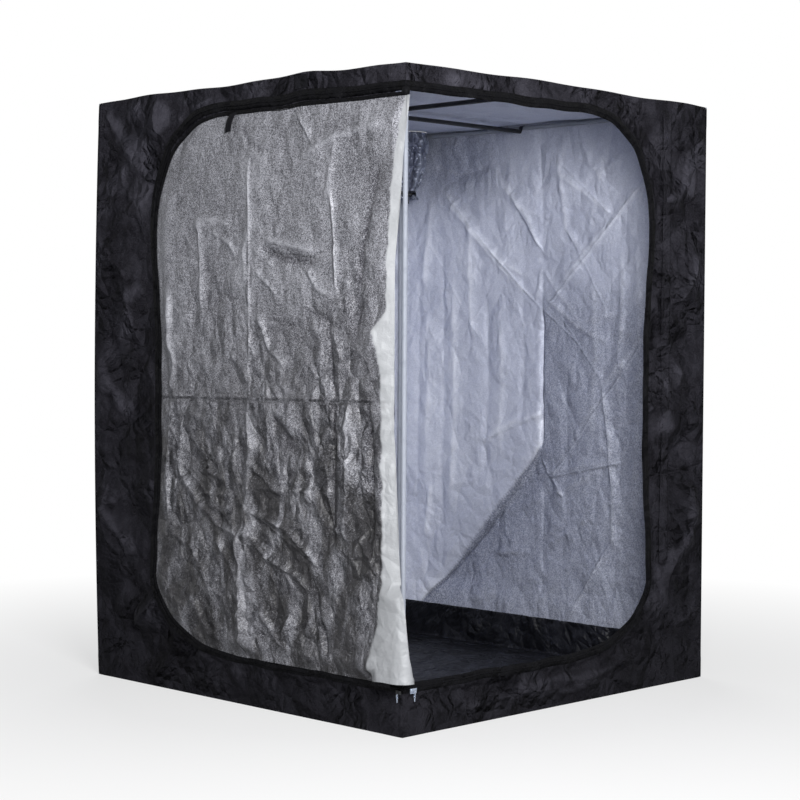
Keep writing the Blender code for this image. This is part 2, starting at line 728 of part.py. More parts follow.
def make_slider(side, point_of, along):
    """A zip slider with two cheeks and a pin, and the pull that hangs on it."""
    root = point_of(along, SLIDER_Z, TAPE_FACE + SEAT_GAP)
    turn = (0, 0, 0) if side == "front" else (0, 0, math.pi / 2)
    half_long, half_tall = SLIDER_LONG / 2, SLIDER_TALL / 2
    body = block_between((-half_long, -SLIDER_THICK, -half_tall), (half_long, 0, half_tall))
    slider = piece(f"{side}_zip_slider", body, "zinc", root, turn)
    inner = TAB_WIDE / 2 + TAB_SIDE_PLAY
    outer = inner + CHEEK_THICK
    cheeks = bmesh.new()
    front, sunk = -SLIDER_THICK - CHEEK_OUT, -SLIDER_THICK / 2
    for low, high in ((-outer, -inner), (inner, outer)):
        block(cheeks, (low, front, -half_tall + SEAT_GAP), (high, sunk, -half_tall + CHEEK_TALL))
    combine(slider, cheeks, "UNION")
    pin_y = front + PIN_INSET
    pin_z = -half_tall + PIN_INSET + SEAT_GAP
    pin_half = inner + CHEEK_THICK / 2
    pin = rod(bmesh.new(), PIN_ACROSS / 2, (-pin_half, pin_y, pin_z), (pin_half, pin_y, pin_z))
    combine(slider, pin, "UNION")

    hole_r = PIN_ACROSS / 2 + SEAT_GAP
    eye_r = hole_r + TAB_EYE_WALL
    half_wide, half_thick = TAB_WIDE / 2, TAB_THICK / 2
    tab = block_between((-half_wide, -half_thick, -TAB_LONG), (half_wide, half_thick, -hole_r))
    bpy.context.view_layer.update()
    pull_at = slider.matrix_world @ Vector((0, pin_y, pin_z))
    pull = piece(f"{side}_zip_pull", tab, "zinc", pull_at, turn)
    eye = rod(bmesh.new(), eye_r, (-half_wide, 0, 0), (half_wide, 0, 0))
    combine(pull, eye, "UNION")
    bore_half = half_wide + OVERRUN
    bore = rod(bmesh.new(), hole_r, (-bore_half, 0, 0), (bore_half, 0, 0))
    combine(pull, bore, "DIFFERENCE")


def make_sewn_pieces():
    """A strap on the folded half, a patch on the top band and a storm flap."""
    strap = block_between(
        (-STRAP_WIDE / 2, -STRAP_THICK, -STRAP_LONG), (STRAP_WIDE / 2, 0, 0)
    )
    strap_at = front_point(STRAP_IN, FLAP_TOP + FLAP_HEM / 2, SWING_OUT + CLOTH / 2 + SEAT_GAP)
    piece("tie_strap", strap, "webbing", strap_at, (-STRAP_TILT, 0, 0))

    patch_z = (OPENING_TOP + TAPE_WIDE / 2 + HEIGHT - CLOTH) / 2
    low = front_point(PATCH_IN + PATCH_WIDE / 2, patch_z - PATCH_TALL / 2, SEAT_GAP + PATCH_THICK)
    high = front_point(PATCH_IN - PATCH_WIDE / 2, patch_z + PATCH_TALL / 2, SEAT_GAP)
    piece("top_band_patch", block_between(low, high), "webbing")

    near = DEPTH - SIDE_MARGIN + STORM_FLAP_OUT
    low = side_point(near, STORM_FLAP_FOOT, SEAT_GAP)
    high = side_point(near + STORM_FLAP_WIDE, HEIGHT - STORM_FLAP_HEAD, SEAT_GAP + TAPE_THICK)
    piece("storm_flap", block_between(low, high), "outer_cloth")


def make_tray():
    """The loose floor tray, an open box that lies between the posts."""
    half_x = FRAME_X - SOCKET_R - TRAY_CLEAR
    half_y = FRAME_Y - SOCKET_R - TRAY_CLEAR
    low = CLOTH + SEAT_GAP
    tray = block_between((-half_x, -half_y, 0), (half_x, half_y, TRAY_TALL))
    tray.faces.ensure_lookup_table()
    top = max(tray.faces, key=lambda face: face.calc_center_median().z)
    bmesh.ops.inset_region(tray, faces=[top], thickness=TRAY_SHEET)
    sunk = bmesh.ops.extrude_face_region(tray, geom=[top])["geom"]
    moved = [item for item in sunk if isinstance(item, bmesh.types.BMVert)]
    bmesh.ops.translate(tray, verts=moved, vec=(0, 0, TRAY_SHEET - TRAY_TALL))
    bmesh.ops.delete(tray, geom=[top], context="FACES_ONLY")
    piece("floor_tray", tray, "tray_cloth", (0, 0, low))


def port_centre():
    return -WIDTH / 2 + PORT_FROM_LEFT, DEPTH / 2 - PORT_FROM_REAR


def make_sleeve():
    """A duct sleeve hangs from the roof and its cord draws it nearly shut."""
    head = HEIGHT - CLOTH - SEAT_GAP
    outer = [(PORT_RADIUS * r, -SLEEVE_LONG * depth) for depth, r, _ in SLEEVE_SHARES]
    inner = [(radius - CLOTH, z) for radius, z in reversed(outer)]
    cloth = turned(outer + inner, SLEEVE_SIDES)
    depths = [share[0] * SLEEVE_LONG for share in SLEEVE_SHARES]
    for vert in cloth.verts:
        level = min(range(len(depths)), key=lambda i: abs(depths[i] + vert.co.z))
        angle = math.atan2(vert.co.y, vert.co.x)
        swell = 1 + SLEEVE_SHARES[level][2] * math.cos(PLEATS * angle)
        vert.co.x *= swell
        vert.co.y *= swell
    x, y = port_centre()
    piece("duct_sleeve", cloth, "lining", (x, y, head), smooth=True)

    facing = (0, 0, -math.pi / 4)
    neck_z = head - SLEEVE_LONG * NECK_DEPTH_SHARE
    neck_r = PORT_RADIUS * NECK_RADIUS_SHARE * (1 + NECK_PLEAT_SHARE)
    cord_r = CORD_ACROSS / 2
    ring_r = neck_r + SEAT_GAP + cord_r
    turns = [math.tau * step / CORD_SIDES for step in range(CORD_SIDES)]
    profile = [(ring_r + cord_r * math.cos(t), cord_r * math.sin(t)) for t in turns]
    ring = turned(profile, SLEEVE_SIDES)
    cord = piece("sleeve_drawstring", ring, "webbing", (x, y, neck_z), facing, smooth=True)
    lock_r, half_lock = LOCK_ACROSS / 2, LOCK_LONG / 2
    half_spread = TAIL_SPREAD / 2
    _, end_share, end_pleat_share = SLEEVE_SHARES[-1]
    tail_x = PORT_RADIUS * end_share * (1 + end_pleat_share) + SEAT_GAP + lock_r
    for side in (half_spread, -half_spread):
        lead = rod(bmesh.new(), cord_r, (ring_r, side, 0), (tail_x, side, 0), CORD_SIDES)
        combine(cord, lead, "UNION")
        low_end, high_end = (tail_x, side, -TAIL_LONG), (tail_x, side, cord_r / 2)
        tail = rod(bmesh.new(), cord_r, low_end, high_end, CORD_SIDES)
        combine(cord, tail, "UNION")

    lock_z = neck_z - cord_r - LOCK_DROP - lock_r
    bpy.context.view_layer.update()
    lock_at = cord.matrix_world @ Vector((tail_x, 0, lock_z - neck_z))
    barrel = rod(bmesh.new(), lock_r, (0, -half_lock, 0), (0, half_lock, 0), SLEEVE_SIDES)
    lock = piece("cord_lock", barrel, "plastic", lock_at, facing, smooth=True)
    bores = bmesh.new()
    bore_end = lock_r + OVERRUN
    for side in (half_spread, -half_spread):
        bore_r = (cord_r + CORD_FIT) / math.cos(math.pi / CORD_SIDES)
        rod(bores, bore_r, (0, side, -bore_end), (0, side, bore_end), CORD_SIDES)
    combine(lock, bores, "DIFFERENCE")
    seat_y = half_spread + cord_r + CORD_FIT + SEAT_GAP
    seat_r = lock_r - LOCK_WALL
    socket = rod(bmesh.new(), seat_r, (0, seat_y, 0), (0, half_lock + OVERRUN, 0), SLEEVE_SIDES)
    combine(lock, socket, "DIFFERENCE")
    stem = (0, seat_y + BUTTON_TRAVEL + SEAT_GAP, 0)
    tip = (0, half_lock + BUTTON_OUT, 0)
    knob = rod(bmesh.new(), seat_r - CORD_FIT, stem, tip, SLEEVE_SIDES)
    piece("cord_lock_button", knob, "plastic", lock_at, facing, smooth=True)


def make_vent():
    """A net behind the hole in the left wall, and a cover flap outside it."""
    half = VENT_WIDE / 2 + VENT_LAP
    low, high = VENT_SILL - VENT_LAP, VENT_SILL + VENT_TALL + VENT_LAP
    inner_x = -WIDTH / 2 + CLOTH + SEAT_GAP
    net = block_between((inner_x, -half, low), (inner_x + VENT_SHEET, half, high))
    piece("intake_vent_net", net, "net")
    flap = block_between(
        (-VENT_SHEET / 2, -half, low - high), (VENT_SHEET / 2, half, VENT_SHEET / 2)
    )
    flap_at = (-WIDTH / 2 - SEAT_GAP - VENT_PLAY - VENT_SHEET / 2, 0, high)
    piece("intake_vent_cover", flap, "outer_cloth", flap_at)


CORNERS = (
    ("front_right", 1, -1),
    ("front_left", -1, -1),
    ("rear_right", 1, 1),
    ("rear_left", -1, 1),
)

clear_scene()
make_posts()
make_rails()
make_corners()
make_hanging_bars()
make_cover()
make_door()
make_zips()
make_slider("front", front_point, FRONT_SLIDER_IN)
make_slider("side", side_point, SIDE_SLIDER_IN)
make_sewn_pieces()
make_tray()
make_sleeve()
make_vent()
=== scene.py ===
# %% [markdown]
# # An indoor grow tent
#
# A grow tent is a light-tight cloth room on a frame of steel tubes: black canvas
# outside, silver foil inside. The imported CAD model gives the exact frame, the
# moving bodies and a plain solid for each piece of cloth. This script keeps the
# rigid pieces, gives them finishes, and makes every piece of cloth again with its
# folds, seams and zips. Everything is in metres, with the tent standing on z = 0
# and its near corner at +x, -y.

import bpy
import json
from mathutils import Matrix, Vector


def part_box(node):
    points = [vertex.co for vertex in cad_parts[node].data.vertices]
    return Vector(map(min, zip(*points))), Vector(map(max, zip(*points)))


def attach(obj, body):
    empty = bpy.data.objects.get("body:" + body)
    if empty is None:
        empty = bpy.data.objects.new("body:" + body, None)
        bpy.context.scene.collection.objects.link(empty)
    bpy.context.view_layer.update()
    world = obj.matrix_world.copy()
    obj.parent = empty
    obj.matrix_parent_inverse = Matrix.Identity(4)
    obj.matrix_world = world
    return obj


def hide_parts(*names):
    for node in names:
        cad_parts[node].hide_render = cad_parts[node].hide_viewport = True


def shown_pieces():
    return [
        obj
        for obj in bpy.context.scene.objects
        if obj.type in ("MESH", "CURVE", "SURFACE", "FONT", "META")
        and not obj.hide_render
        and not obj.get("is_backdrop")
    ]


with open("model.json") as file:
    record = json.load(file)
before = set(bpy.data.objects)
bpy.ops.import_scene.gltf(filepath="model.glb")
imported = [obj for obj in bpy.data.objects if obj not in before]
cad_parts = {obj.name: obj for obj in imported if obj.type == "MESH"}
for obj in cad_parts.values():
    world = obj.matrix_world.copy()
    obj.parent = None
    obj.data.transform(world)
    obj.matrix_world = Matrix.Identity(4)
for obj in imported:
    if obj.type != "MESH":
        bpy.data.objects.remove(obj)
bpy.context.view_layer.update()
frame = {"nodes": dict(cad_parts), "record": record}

# %% Tools of the trade
import json
from math import cos, pi, radians, sin

import bmesh
import bpy
import numpy as np
from mathutils import Matrix, Vector, noise

scene = bpy.context.scene

# %% [markdown]
# ## The camera
#
# The photograph was taken almost level, with a long lens, looking straight at the
# near corner. The angles and the distance were solved from the tent's corners in
# the photograph. A camera looks along its own -Z, so its three axes can be
# written down as the columns of a matrix, which avoids any trial and error.

# %% Camera
AZIMUTH, ELEVATION, ROLL = radians(44.64), radians(1.8586), radians(0.3248)
DISTANCE = 6.7287
AIM = Vector((0, 0, 0.9714))
SIDEWAYS = -0.0057
LENS = 86.2587

back = Vector((sin(AZIMUTH) * cos(ELEVATION), -cos(AZIMUTH) * cos(ELEVATION), sin(ELEVATION)))
level = (-back).cross(Vector((0, 0, 1))).normalized()
upright = level.cross(-back)
right = level * cos(ROLL) + upright * sin(ROLL)
up = upright * cos(ROLL) - level * sin(ROLL)

camera = bpy.data.objects.new("camera", bpy.data.cameras.new("camera"))
scene.collection.objects.link(camera)
scene.camera = camera
camera.data.sensor_width = 36
camera.data.lens = LENS
camera.data.clip_end = 60
turn = Matrix((right, up, back)).transposed().to_4x4()
camera.matrix_world = Matrix.Translation(AIM + level * SIDEWAYS + back * DISTANCE) @ turn
print("camera at", [round(x, 3) for x in camera.location])

# %% [markdown]
# ## Colours and nodes
#
# Colours are picked on screen as sRGB hex codes, but shaders count in linear
# light, so one function turns one into the other. A second small function adds a
# shader node, sets it up and wires its inputs, which keeps each recipe readable.
# A third starts an empty finish.

# %% Three helpers for finishes
def linear(code):
    """Turns an sRGB hex colour into the linear numbers that shaders take."""
    shares = [int(code[i:i + 2], 16) / 255 for i in (1, 3, 5)]
    return [s / 12.92 if s <= 0.04045 else ((s + 0.055) / 1.055) ** 2.4 for s in shares] + [1]


def add(tree, kind, inputs=None, **settings):
    """Adds a shader node, with its settings, and fills or links its inputs."""
    made = tree.nodes.new("ShaderNode" + kind)
    for name, value in settings.items():
        setattr(made, name, value)
    for name, value in (inputs or {}).items():
        if isinstance(value, bpy.types.NodeSocket):
            tree.links.new(value, made.inputs[name])
        else:
            made.inputs[name].default_value = value
    return made


def new_finish(name):
    """Starts a finish: the material, its node tree and its shader."""
    made = bpy.data.materials.new(name)
    made.use_nodes = True
    return made, made.node_tree, made.node_tree.nodes["Principled BSDF"]


# %% [markdown]
# ## Light, backdrop and floor
#
# The photograph is lit by one big soft lamp on the right, low enough to reach
# through the open side and light the back wall, with the white studio filling the
# shadows. The background is plain white. The world is white only for rays that
# come from the camera or from a shiny surface; for the rest it is a dim fill. The
# floor's paper takes the tent's shadow close by and fades to plain white further
# out, so no horizon shows.

# %% World
scene.view_settings.view_transform = "Standard"
world = bpy.data.worlds.new("studio")
scene.world = world
world.use_nodes = True
tree = world.node_tree
tree.nodes.clear()
FILL = 0.18
path = add(tree, "LightPath")
seen = add(tree, "Math", {0: path.outputs["Is Camera Ray"], 1: path.outputs["Is Glossy Ray"]},
           operation="ADD", use_clamp=True)
seen = add(tree, "Math", {0: seen.outputs[0], 1: path.outputs["Is Transmission Ray"]},
           operation="ADD", use_clamp=True)
fill = add(tree, "Background", {"Color": linear("#e9eefa"), "Strength": FILL})
white = add(tree, "Background", {"Color": (1, 1, 1, 1), "Strength": 1.0})
mixed = add(tree, "MixShader", {0: seen.outputs[0], 1: fill.outputs[0], 2: white.outputs[0]})
add(tree, "OutputWorld", {"Surface": mixed.outputs[0]})


# %% Lamps
LAMPS_FACE = Vector((0, 0, 1.0))


def lamp(name, azimuth, elevation, distance, size, power):
    """A square soft box that faces the tent's middle."""
    made = bpy.data.objects.new(name, bpy.data.lights.new(name, "AREA"))
    made.data.size = size
    made.data.energy = power
    a, e = radians(azimuth), radians(elevation)
    away = Vector((sin(a) * cos(e), -cos(a) * cos(e), sin(e)))
    made.location = LAMPS_FACE + away * distance
    made.rotation_mode = "QUATERNION"
    made.rotation_quaternion = away.to_track_quat("Z", "Y")
    scene.collection.objects.link(made)
    print(name, "is", distance, "m away and gives", power, "W")


lamp("key_soft_box", azimuth=53, elevation=14, distance=4.6, size=1.2, power=206)
lamp("back_soft_box", azimuth=235, elevation=35, distance=6.0, size=3.0, power=90)

# %% Floor
FLOOR_HALF = 14
FADE_FROM, FADE_TO, PAPER_WHITE = 1.1, 3.2, 0.62
bm = bmesh.new()
bmesh.ops.create_grid(bm, x_segments=1, y_segments=1, size=FLOOR_HALF)
floor_mesh = bpy.data.meshes.new("floor")
bm.to_mesh(floor_mesh)
bm.free()
floor = bpy.data.objects.new("floor", floor_mesh)
scene.collection.objects.link(floor)
floor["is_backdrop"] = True

paper = bpy.data.materials.new("backdrop_paper")
paper.use_nodes = True
tree = paper.node_tree
tree.nodes.clear()
path = add(tree, "LightPath")
place = add(tree, "TexCoord")
far = add(tree, "VectorMath", {0: place.outputs["Object"]}, operation="LENGTH")
faded = add(tree, "MapRange", {"Value": far.outputs["Value"], "From Min": FADE_FROM, "From Max": FADE_TO,
                               "To Min": PAPER_WHITE, "To Max": 1.0})
eye = add(tree, "Math", {0: path.outputs["Is Camera Ray"], 1: faded.outputs[0]}, operation="MULTIPLY")
matt = add(tree, "BsdfDiffuse", {"Color": linear("#e4e4e4")})
glow = add(tree, "Emission", {"Color": (1, 1, 1, 1), "Strength": 1.0})
both = add(tree, "MixShader", {0: eye.outputs[0], 1: matt.outputs[0], 2: glow.outputs[0]})
add(tree, "OutputMaterial", {"Surface": both.outputs[0]})
floor_mesh.materials.append(paper)


# %% [markdown]
# ## Crumple
#
# Coated cloth and film don't wrinkle softly: they break into flat facets with
# sharp creases between them. The distance to the edge of Voronoi cells has just
# that shape, a cone of flat sides for each cell, so it is used as the height of a
# bump at three or four sizes. A little noise bends the creases, and another
# calms some places and roughens others.

# %% Crumple bump
# The share of its height that a bump keeps in the calmest places.
CALM = 0.3


def crumple(tree, uv, facets, stretch=1.0, under=None, grow=None):
    """Chains bumps of flat facets, each (size in metres, slope of its sides)."""
    wide = add(tree, "VectorMath", {0: uv, 1: (1.0, stretch, 1.0)}, operation="MULTIPLY")
    sway = add(tree, "TexNoise", {"Vector": wide.outputs[0], "Scale": 6.0, "Detail": 3.0})
    bend = add(tree, "VectorMath", {0: sway.outputs["Color"], 3: 0.06}, operation="SCALE")
    moved = add(tree, "VectorMath", {0: wide.outputs[0], 1: bend.outputs[0]}, operation="ADD")
    normal = under
    for number, (size, slope) in enumerate(facets):
        where = add(tree, "TexNoise", {"Vector": uv, "Scale": 3.0 + 2.3 * number, "Detail": 2.0})
        amount = add(tree, "MapRange", {"Value": where.outputs[0], "From Min": 0.38, "From Max": 0.6,
                                        "To Min": CALM, "To Max": 1.0})
        if grow:
            amount = add(tree, "Math", {0: amount.outputs[0], 1: grow}, operation="MULTIPLY")
        cells = add(tree, "TexVoronoi", {"Vector": moved.outputs[0], "Scale": 1 / size},
                    feature="DISTANCE_TO_EDGE", voronoi_dimensions="2D")
        inputs = {"Height": cells.outputs["Distance"], "Strength": amount.outputs[0],
                  "Distance": size * slope}
        if normal:
            inputs["Normal"] = normal
        normal = add(tree, "Bump", inputs).outputs[0]
    return normal


# %% [markdown]
# ## Finishes for cloth
#
# The outside is polyester canvas with a rubbery back coat: near black, slightly
# mottled, with ridges painted paler as a painted highlight. Its threads are 0.6 mm
# apart, too fine for a picture of a whole tent, so the weave is drawn four times
# coarser. The relief of the folds is stored on each mesh as "fold", so ridges can
# get their painted highlight wherever they are.

# %% Canvas
SMALL_FACETS = ((0.16, 0.30), (0.055, 0.34), (0.022, 0.22))
WALL_FACETS = ((0.42, 0.7), (0.17, 0.3), (0.05, 0.46), (0.02, 0.3))
# Colour of the painted shade at a wall's foot.
WALL_FOOT_SHADE = "#0d0d10"


def woven(tree, uv, thread):
    """Height of two crossed waves of thread."""
    threads = [add(tree, "TexWave", {"Vector": uv, "Scale": 0.5 / thread, "Distortion": 0.6, "Detail": 1.0},
                   bands_direction=way).outputs[1] for way in "XY"]
    return add(tree, "Math", {0: threads[0], 1: threads[1]}, operation="MULTIPLY").outputs[0]


def paint_wall_foot_shade(tree, colour):
    """Painted shade: blacker towards the foot of a wall, where less light reaches."""
    place = add(tree, "SeparateXYZ", {0: add(tree, "TexCoord").outputs["Object"]})
    low = add(tree, "MapRange", {"Value": place.outputs["Z"], "From Min": 1.7, "From Max": 0.1,
                                 "To Min": 0.0, "To Max": 0.55})
    return add(tree, "Mix", {0: low.outputs[0], 6: colour, 7: linear(WALL_FOOT_SHADE)},
               data_type="RGBA").outputs[2]


def canvas(name, dark, pale, rough, thread=0.0024, ridge=0.35, sheen=0.0, shine=0.04,
           foot_in_shade=False, facets=SMALL_FACETS):
    """Woven coated cloth: two crossed thread waves, mottling, ridges painted paler as a painted highlight,
    and painted shade at a wall's foot if asked.
    """
    made, tree, shader = new_finish(name)
    uv = add(tree, "TexCoord").outputs["UV"]
    cloud = add(tree, "TexNoise", {"Vector": uv, "Scale": 7.0, "Detail": 5.0, "Roughness": 0.6})
    grain = add(tree, "TexNoise", {"Vector": uv, "Scale": 260.0, "Detail": 2.0})
    fold_share_for_paint = add(tree, "Attribute", attribute_name="fold", attribute_type="GEOMETRY")
    # Painted highlight: the ridges of the folds are painted paler.
    painted_fold_light = add(tree, "MapRange", {"Value": fold_share_for_paint.outputs["Fac"], "From Min": 0.15, "From Max": 1.0,
                                  "To Min": 0.0, "To Max": ridge})
    spread = add(tree, "MapRange", {"Value": cloud.outputs[0], "From Min": 0.4, "From Max": 0.66,
                                    "To Min": 0.0, "To Max": 0.45})
    speck = add(tree, "MapRange", {"Value": grain.outputs[0], "From Min": 0.35, "From Max": 0.75,
                                   "To Min": 0.0, "To Max": 0.4})
    total = add(tree, "Math", {0: spread.outputs[0], 1: speck.outputs[0]}, operation="ADD")
    total = add(tree, "Math", {0: total.outputs[0], 1: painted_fold_light.outputs[0]}, operation="ADD", use_clamp=True)
    tint = add(tree, "Mix", {0: total.outputs[0], 6: linear(dark), 7: linear(pale)}, data_type="RGBA")
    # Painted shade towards the foot, on the walls' canvas only.
    colour = paint_wall_foot_shade(tree, tint.outputs[2]) if foot_in_shade else tint.outputs[2]
    tree.links.new(colour, shader.inputs["Base Color"])
    gloss = add(tree, "MapRange", {"Value": cloud.outputs[0], "From Min": 0.3, "From Max": 0.7,
                                   "To Min": rough - 0.06, "To Max": rough + 0.08})
    tree.links.new(gloss.outputs[0], shader.inputs["Roughness"])
    threads = add(tree, "Bump", {"Height": woven(tree, uv, thread), "Strength": 0.35, "Distance": 0.0006})
    tree.links.new(crumple(tree, uv, facets, under=threads.outputs[0]), shader.inputs["Normal"])
    shader.inputs["Sheen Weight"].default_value = sheen
    shader.inputs["Sheen Roughness"].default_value = 0.5
    shader.inputs["Specular IOR Level"].default_value = shine
    print(name, "has threads", round(thread * 1000, 1), "mm apart")
    return made


black_canvas = canvas("black_polyester_canvas", "#121115", "#45444c", 0.7, ridge=0.5, foot_in_shade=True,
                      facets=WALL_FACETS)
tray_pvc = canvas("black_coated_tray_cloth", "#0d0e12", "#24252c", 0.45, thread=0.004, shine=0.2)
strap_weave = canvas("black_webbing_weave", "#111114", "#26262b", 0.66, thread=0.003)


# %% [markdown]
# ## Finishes for foil
#
# The lining is metallised film pressed with fine diamonds and bonded to the
# canvas. Each diamond leans a little differently, so the film sparkles in grains
# of bright and dark. Voronoi cells of a few millimetres give that: each has its
# own shade, and their edges are the dents. The pressed grain is a little over a
# millimetre, and it is drawn about twice as coarse, so that it shows from where
# the camera stands. Straight creases from the imported cloth are drawn as ridges.
# The lining's copy of the film is painted paler and bluer than the door's, as
# painted light for the brighter, bluish light inside the tent.

# %% Sharp crease lines
# How far a crease reaches to each side, and the height of one of share 1.
LINE_WIDE, LINE_HIGH = 0.008, 0.0034


def sharp_lines(tree, uv, lines):
    """Height of thin straight ridges: each runs from (x, y) to (x, y) on the flat cloth."""
    total = None
    for start, end, share in lines:
        run = Vector(end) - Vector(start)
        way = run.normalized()
        off = add(tree, "VectorMath", {0: uv, 1: (-way.y, way.x, 0)}, operation="DOT_PRODUCT")
        gap = add(tree, "Math", {0: off.outputs["Value"], 1: way.x * start[1] - way.y * start[0]},
                  operation="SUBTRACT")
        gap = add(tree, "Math", {0: gap.outputs[0]}, operation="ABSOLUTE")
        ridge = add(tree, "MapRange", {"Value": gap.outputs[0], "From Min": 0.0, "From Max": LINE_WIDE,
                                       "To Min": share, "To Max": 0.0})
        far = add(tree, "VectorMath", {0: uv, 1: ((start[0] + end[0]) / 2, (start[1] + end[1]) / 2, 0)},
                  operation="DISTANCE")
        ends = add(tree, "MapRange", {"Value": far.outputs["Value"], "From Min": run.length * 0.4,
                                      "From Max": run.length * 0.52, "To Min": 1.0, "To Max": 0.0})
        line = add(tree, "Math", {0: ridge.outputs[0], 1: ends.outputs[0]}, operation="MULTIPLY")
        if total is None:
            total = line.outputs[0]
        else:
            total = add(tree, "Math", {0: total, 1: line.outputs[0]}, operation="ADD").outputs[0]
    return total


# %% Painted shade at the foot, grey painted shade and the lip's painted highlight
def paint_film_foot_shade(tree, uv, shade, colour, most):
    """Painted shade that thickens towards the folded half's foot, in patches and grains, and how much the
    film is crushed there.
    """
    height = add(tree, "SeparateXYZ", {0: uv}).outputs["Y"]
    grow = add(tree, "MapRange", {"Value": height, "From Min": 1.45, "From Max": 0.85,
                                  "To Min": 0.28, "To Max": 1.0}).outputs[0]
    tall = add(tree, "VectorMath", {0: uv, 1: (1.0, 0.4, 1.0)}, operation="MULTIPLY")
    patch = add(tree, "TexNoise", {"Vector": tall.outputs[0], "Scale": 11.0, "Detail": 4.0,
                                   "Distortion": 0.8})
    patchy = add(tree, "MapRange", {"Value": patch.outputs[0], "From Min": 0.36, "From Max": 0.62,
                                    "To Min": 0.35, "To Max": 1.75})
    low = add(tree, "MapRange", {"Value": height, "From Min": 1.35, "From Max": 0.65,
                                 "To Min": 0.0, "To Max": most})
    spotty = add(tree, "MapRange", {"Value": shade.outputs[1], "To Min": 0.7, "To Max": 1.5})
    shading_share = add(tree, "Math", {0: low.outputs[0], 1: patchy.outputs[0]}, operation="MULTIPLY")
    shading_share = add(tree, "Math", {0: shading_share.outputs[0], 1: spotty.outputs[0]}, operation="MULTIPLY",
               use_clamp=True)
    # Painted shade: multiplies the film darker towards the foot.
    foot_shaded = add(tree, "Mix", {0: shading_share.outputs[0], 6: colour, 7: linear("#555354")}, data_type="RGBA",
                blend_type="MULTIPLY")
    return foot_shaded.outputs[2], grow


def paint_grey_shade(tree, shade, colour, grey):
    """Painted shade: greyer grains where the attribute "dull" says so."""
    part = add(tree, "Attribute", attribute_name="dull", attribute_type="GEOMETRY")
    uneven = add(tree, "MapRange", {"Value": shade.outputs[1], "To Min": 0.4, "To Max": 1.6})
    share = add(tree, "Math", {0: part.outputs["Fac"], 1: uneven.outputs[0]}, operation="MULTIPLY",
                use_clamp=True)
    return add(tree, "Mix", {0: share.outputs[0], 6: colour, 7: linear(grey)}, data_type="RGBA").outputs[2]


def paint_lip_highlight(tree, colour, grow):
    """Plain, paler film where the attribute "lip" says so, a painted highlight, with calmer bumps as on taut
    cloth.
    """
    turned = add(tree, "Attribute", attribute_name="lip", attribute_type="GEOMETRY")
    # Painted highlight on the lip, where the fold turns towards the lamp.
    plain = add(tree, "Mix", {0: turned.outputs["Fac"], 6: colour, 7: linear("#9b9da0")}, data_type="RGBA")
    taut = add(tree, "MapRange", {"Value": turned.outputs["Fac"], "To Min": 1.0, "To Max": 0.3})
    calmer = add(tree, "Math", {0: grow, 1: taut.outputs[0]}, operation="MULTIPLY")
    return plain.outputs[2], calmer.outputs[0]


# %% Foil
def foil(name, dark, pale, grain, metal, rough, contrast, facets, dent=0.0008, stretch=1.0,
         film_foot_shading=0.0, lines=(), shade_grey_colour=None):
    """Pressed metallised film: speckled cells, soft clouds and creases, with painted highlight and shade
    along the creases, and optional painted shade and a painted highlight on the lip.
    """
    made, tree, shader = new_finish(name)
    uv = add(tree, "TexCoord").outputs["UV"]
    cells = add(tree, "TexVoronoi", {"Vector": uv, "Scale": 1 / grain, "Randomness": 1.0})
    shade = add(tree, "SeparateColor", {0: cells.outputs["Color"]})
    cloud = add(tree, "TexNoise", {"Vector": uv, "Scale": 9.0, "Detail": 6.0, "Roughness": 0.62})
    fine = add(tree, "TexNoise", {"Vector": uv, "Scale": 320.0, "Detail": 3.0, "Roughness": 0.7})
    folded = add(tree, "Attribute", attribute_name="fold", attribute_type="GEOMETRY")
    speck = add(tree, "MapRange", {"Value": shade.outputs[0], "From Min": 0.0, "From Max": 1.0,
                                   "To Min": -0.5 * contrast, "To Max": 0.5 * contrast})
    blot = add(tree, "MapRange", {"Value": cloud.outputs[0], "From Min": 0.3, "From Max": 0.7,
                                  "To Min": 0.42, "To Max": 0.58})
    mist = add(tree, "MapRange", {"Value": fine.outputs[0], "From Min": 0.3, "From Max": 0.7,
                                  "To Min": -0.2 * contrast, "To Max": 0.2 * contrast})
    # Painted highlight on the folds' ridges and painted shade in their valleys.
    painted_fold_light = add(tree, "Math", {0: folded.outputs["Fac"], 1: 0.4}, operation="MULTIPLY")
    total = add(tree, "Math", {0: speck.outputs[0], 1: blot.outputs[0]}, operation="ADD")
    total = add(tree, "Math", {0: total.outputs[0], 1: mist.outputs[0]}, operation="ADD")
    total = add(tree, "Math", {0: total.outputs[0], 1: painted_fold_light.outputs[0]}, operation="ADD", use_clamp=True)
    tint = add(tree, "Mix", {0: total.outputs[0], 6: linear(dark), 7: linear(pale)}, data_type="RGBA")
    colour, grow = tint.outputs[2], None
    # Painted shade towards the foot, then the lip's painted highlight.
    if film_foot_shading:
        colour, grow = paint_film_foot_shade(tree, uv, shade, colour, film_foot_shading)
        colour, grow = paint_lip_highlight(tree, colour, grow)
    if shade_grey_colour:
        colour = paint_grey_shade(tree, shade, colour, shade_grey_colour)
    tree.links.new(colour, shader.inputs["Base Color"])
    pressed = add(tree, "Bump", {"Height": cells.outputs["Distance"], "Strength": 0.6, "Distance": dent},
                  invert=True)
    crush = add(tree, "TexNoise", {"Vector": uv, "Scale": 24.0, "Detail": 5.0, "Distortion": 1.6})
    soft = add(tree, "Bump", {"Height": crush.outputs[0], "Strength": 0.15, "Distance": 0.010,
                              "Normal": pressed.outputs[0]})
    normal = crumple(tree, uv, facets, stretch, under=soft.outputs[0], grow=grow)
    if lines:
        ridges = sharp_lines(tree, uv, lines)
        normal = add(tree, "Bump", {"Height": ridges, "Strength": 1.0, "Distance": LINE_HIGH,
                                    "Normal": normal}).outputs[0]
    tree.links.new(normal, shader.inputs["Normal"])
    shader.inputs["Metallic"].default_value = metal
    shader.inputs["Roughness"].default_value = rough
    print(name, "has a grain of", round(grain * 1000, 1), "mm and", len(lines), "drawn creases")
    return made


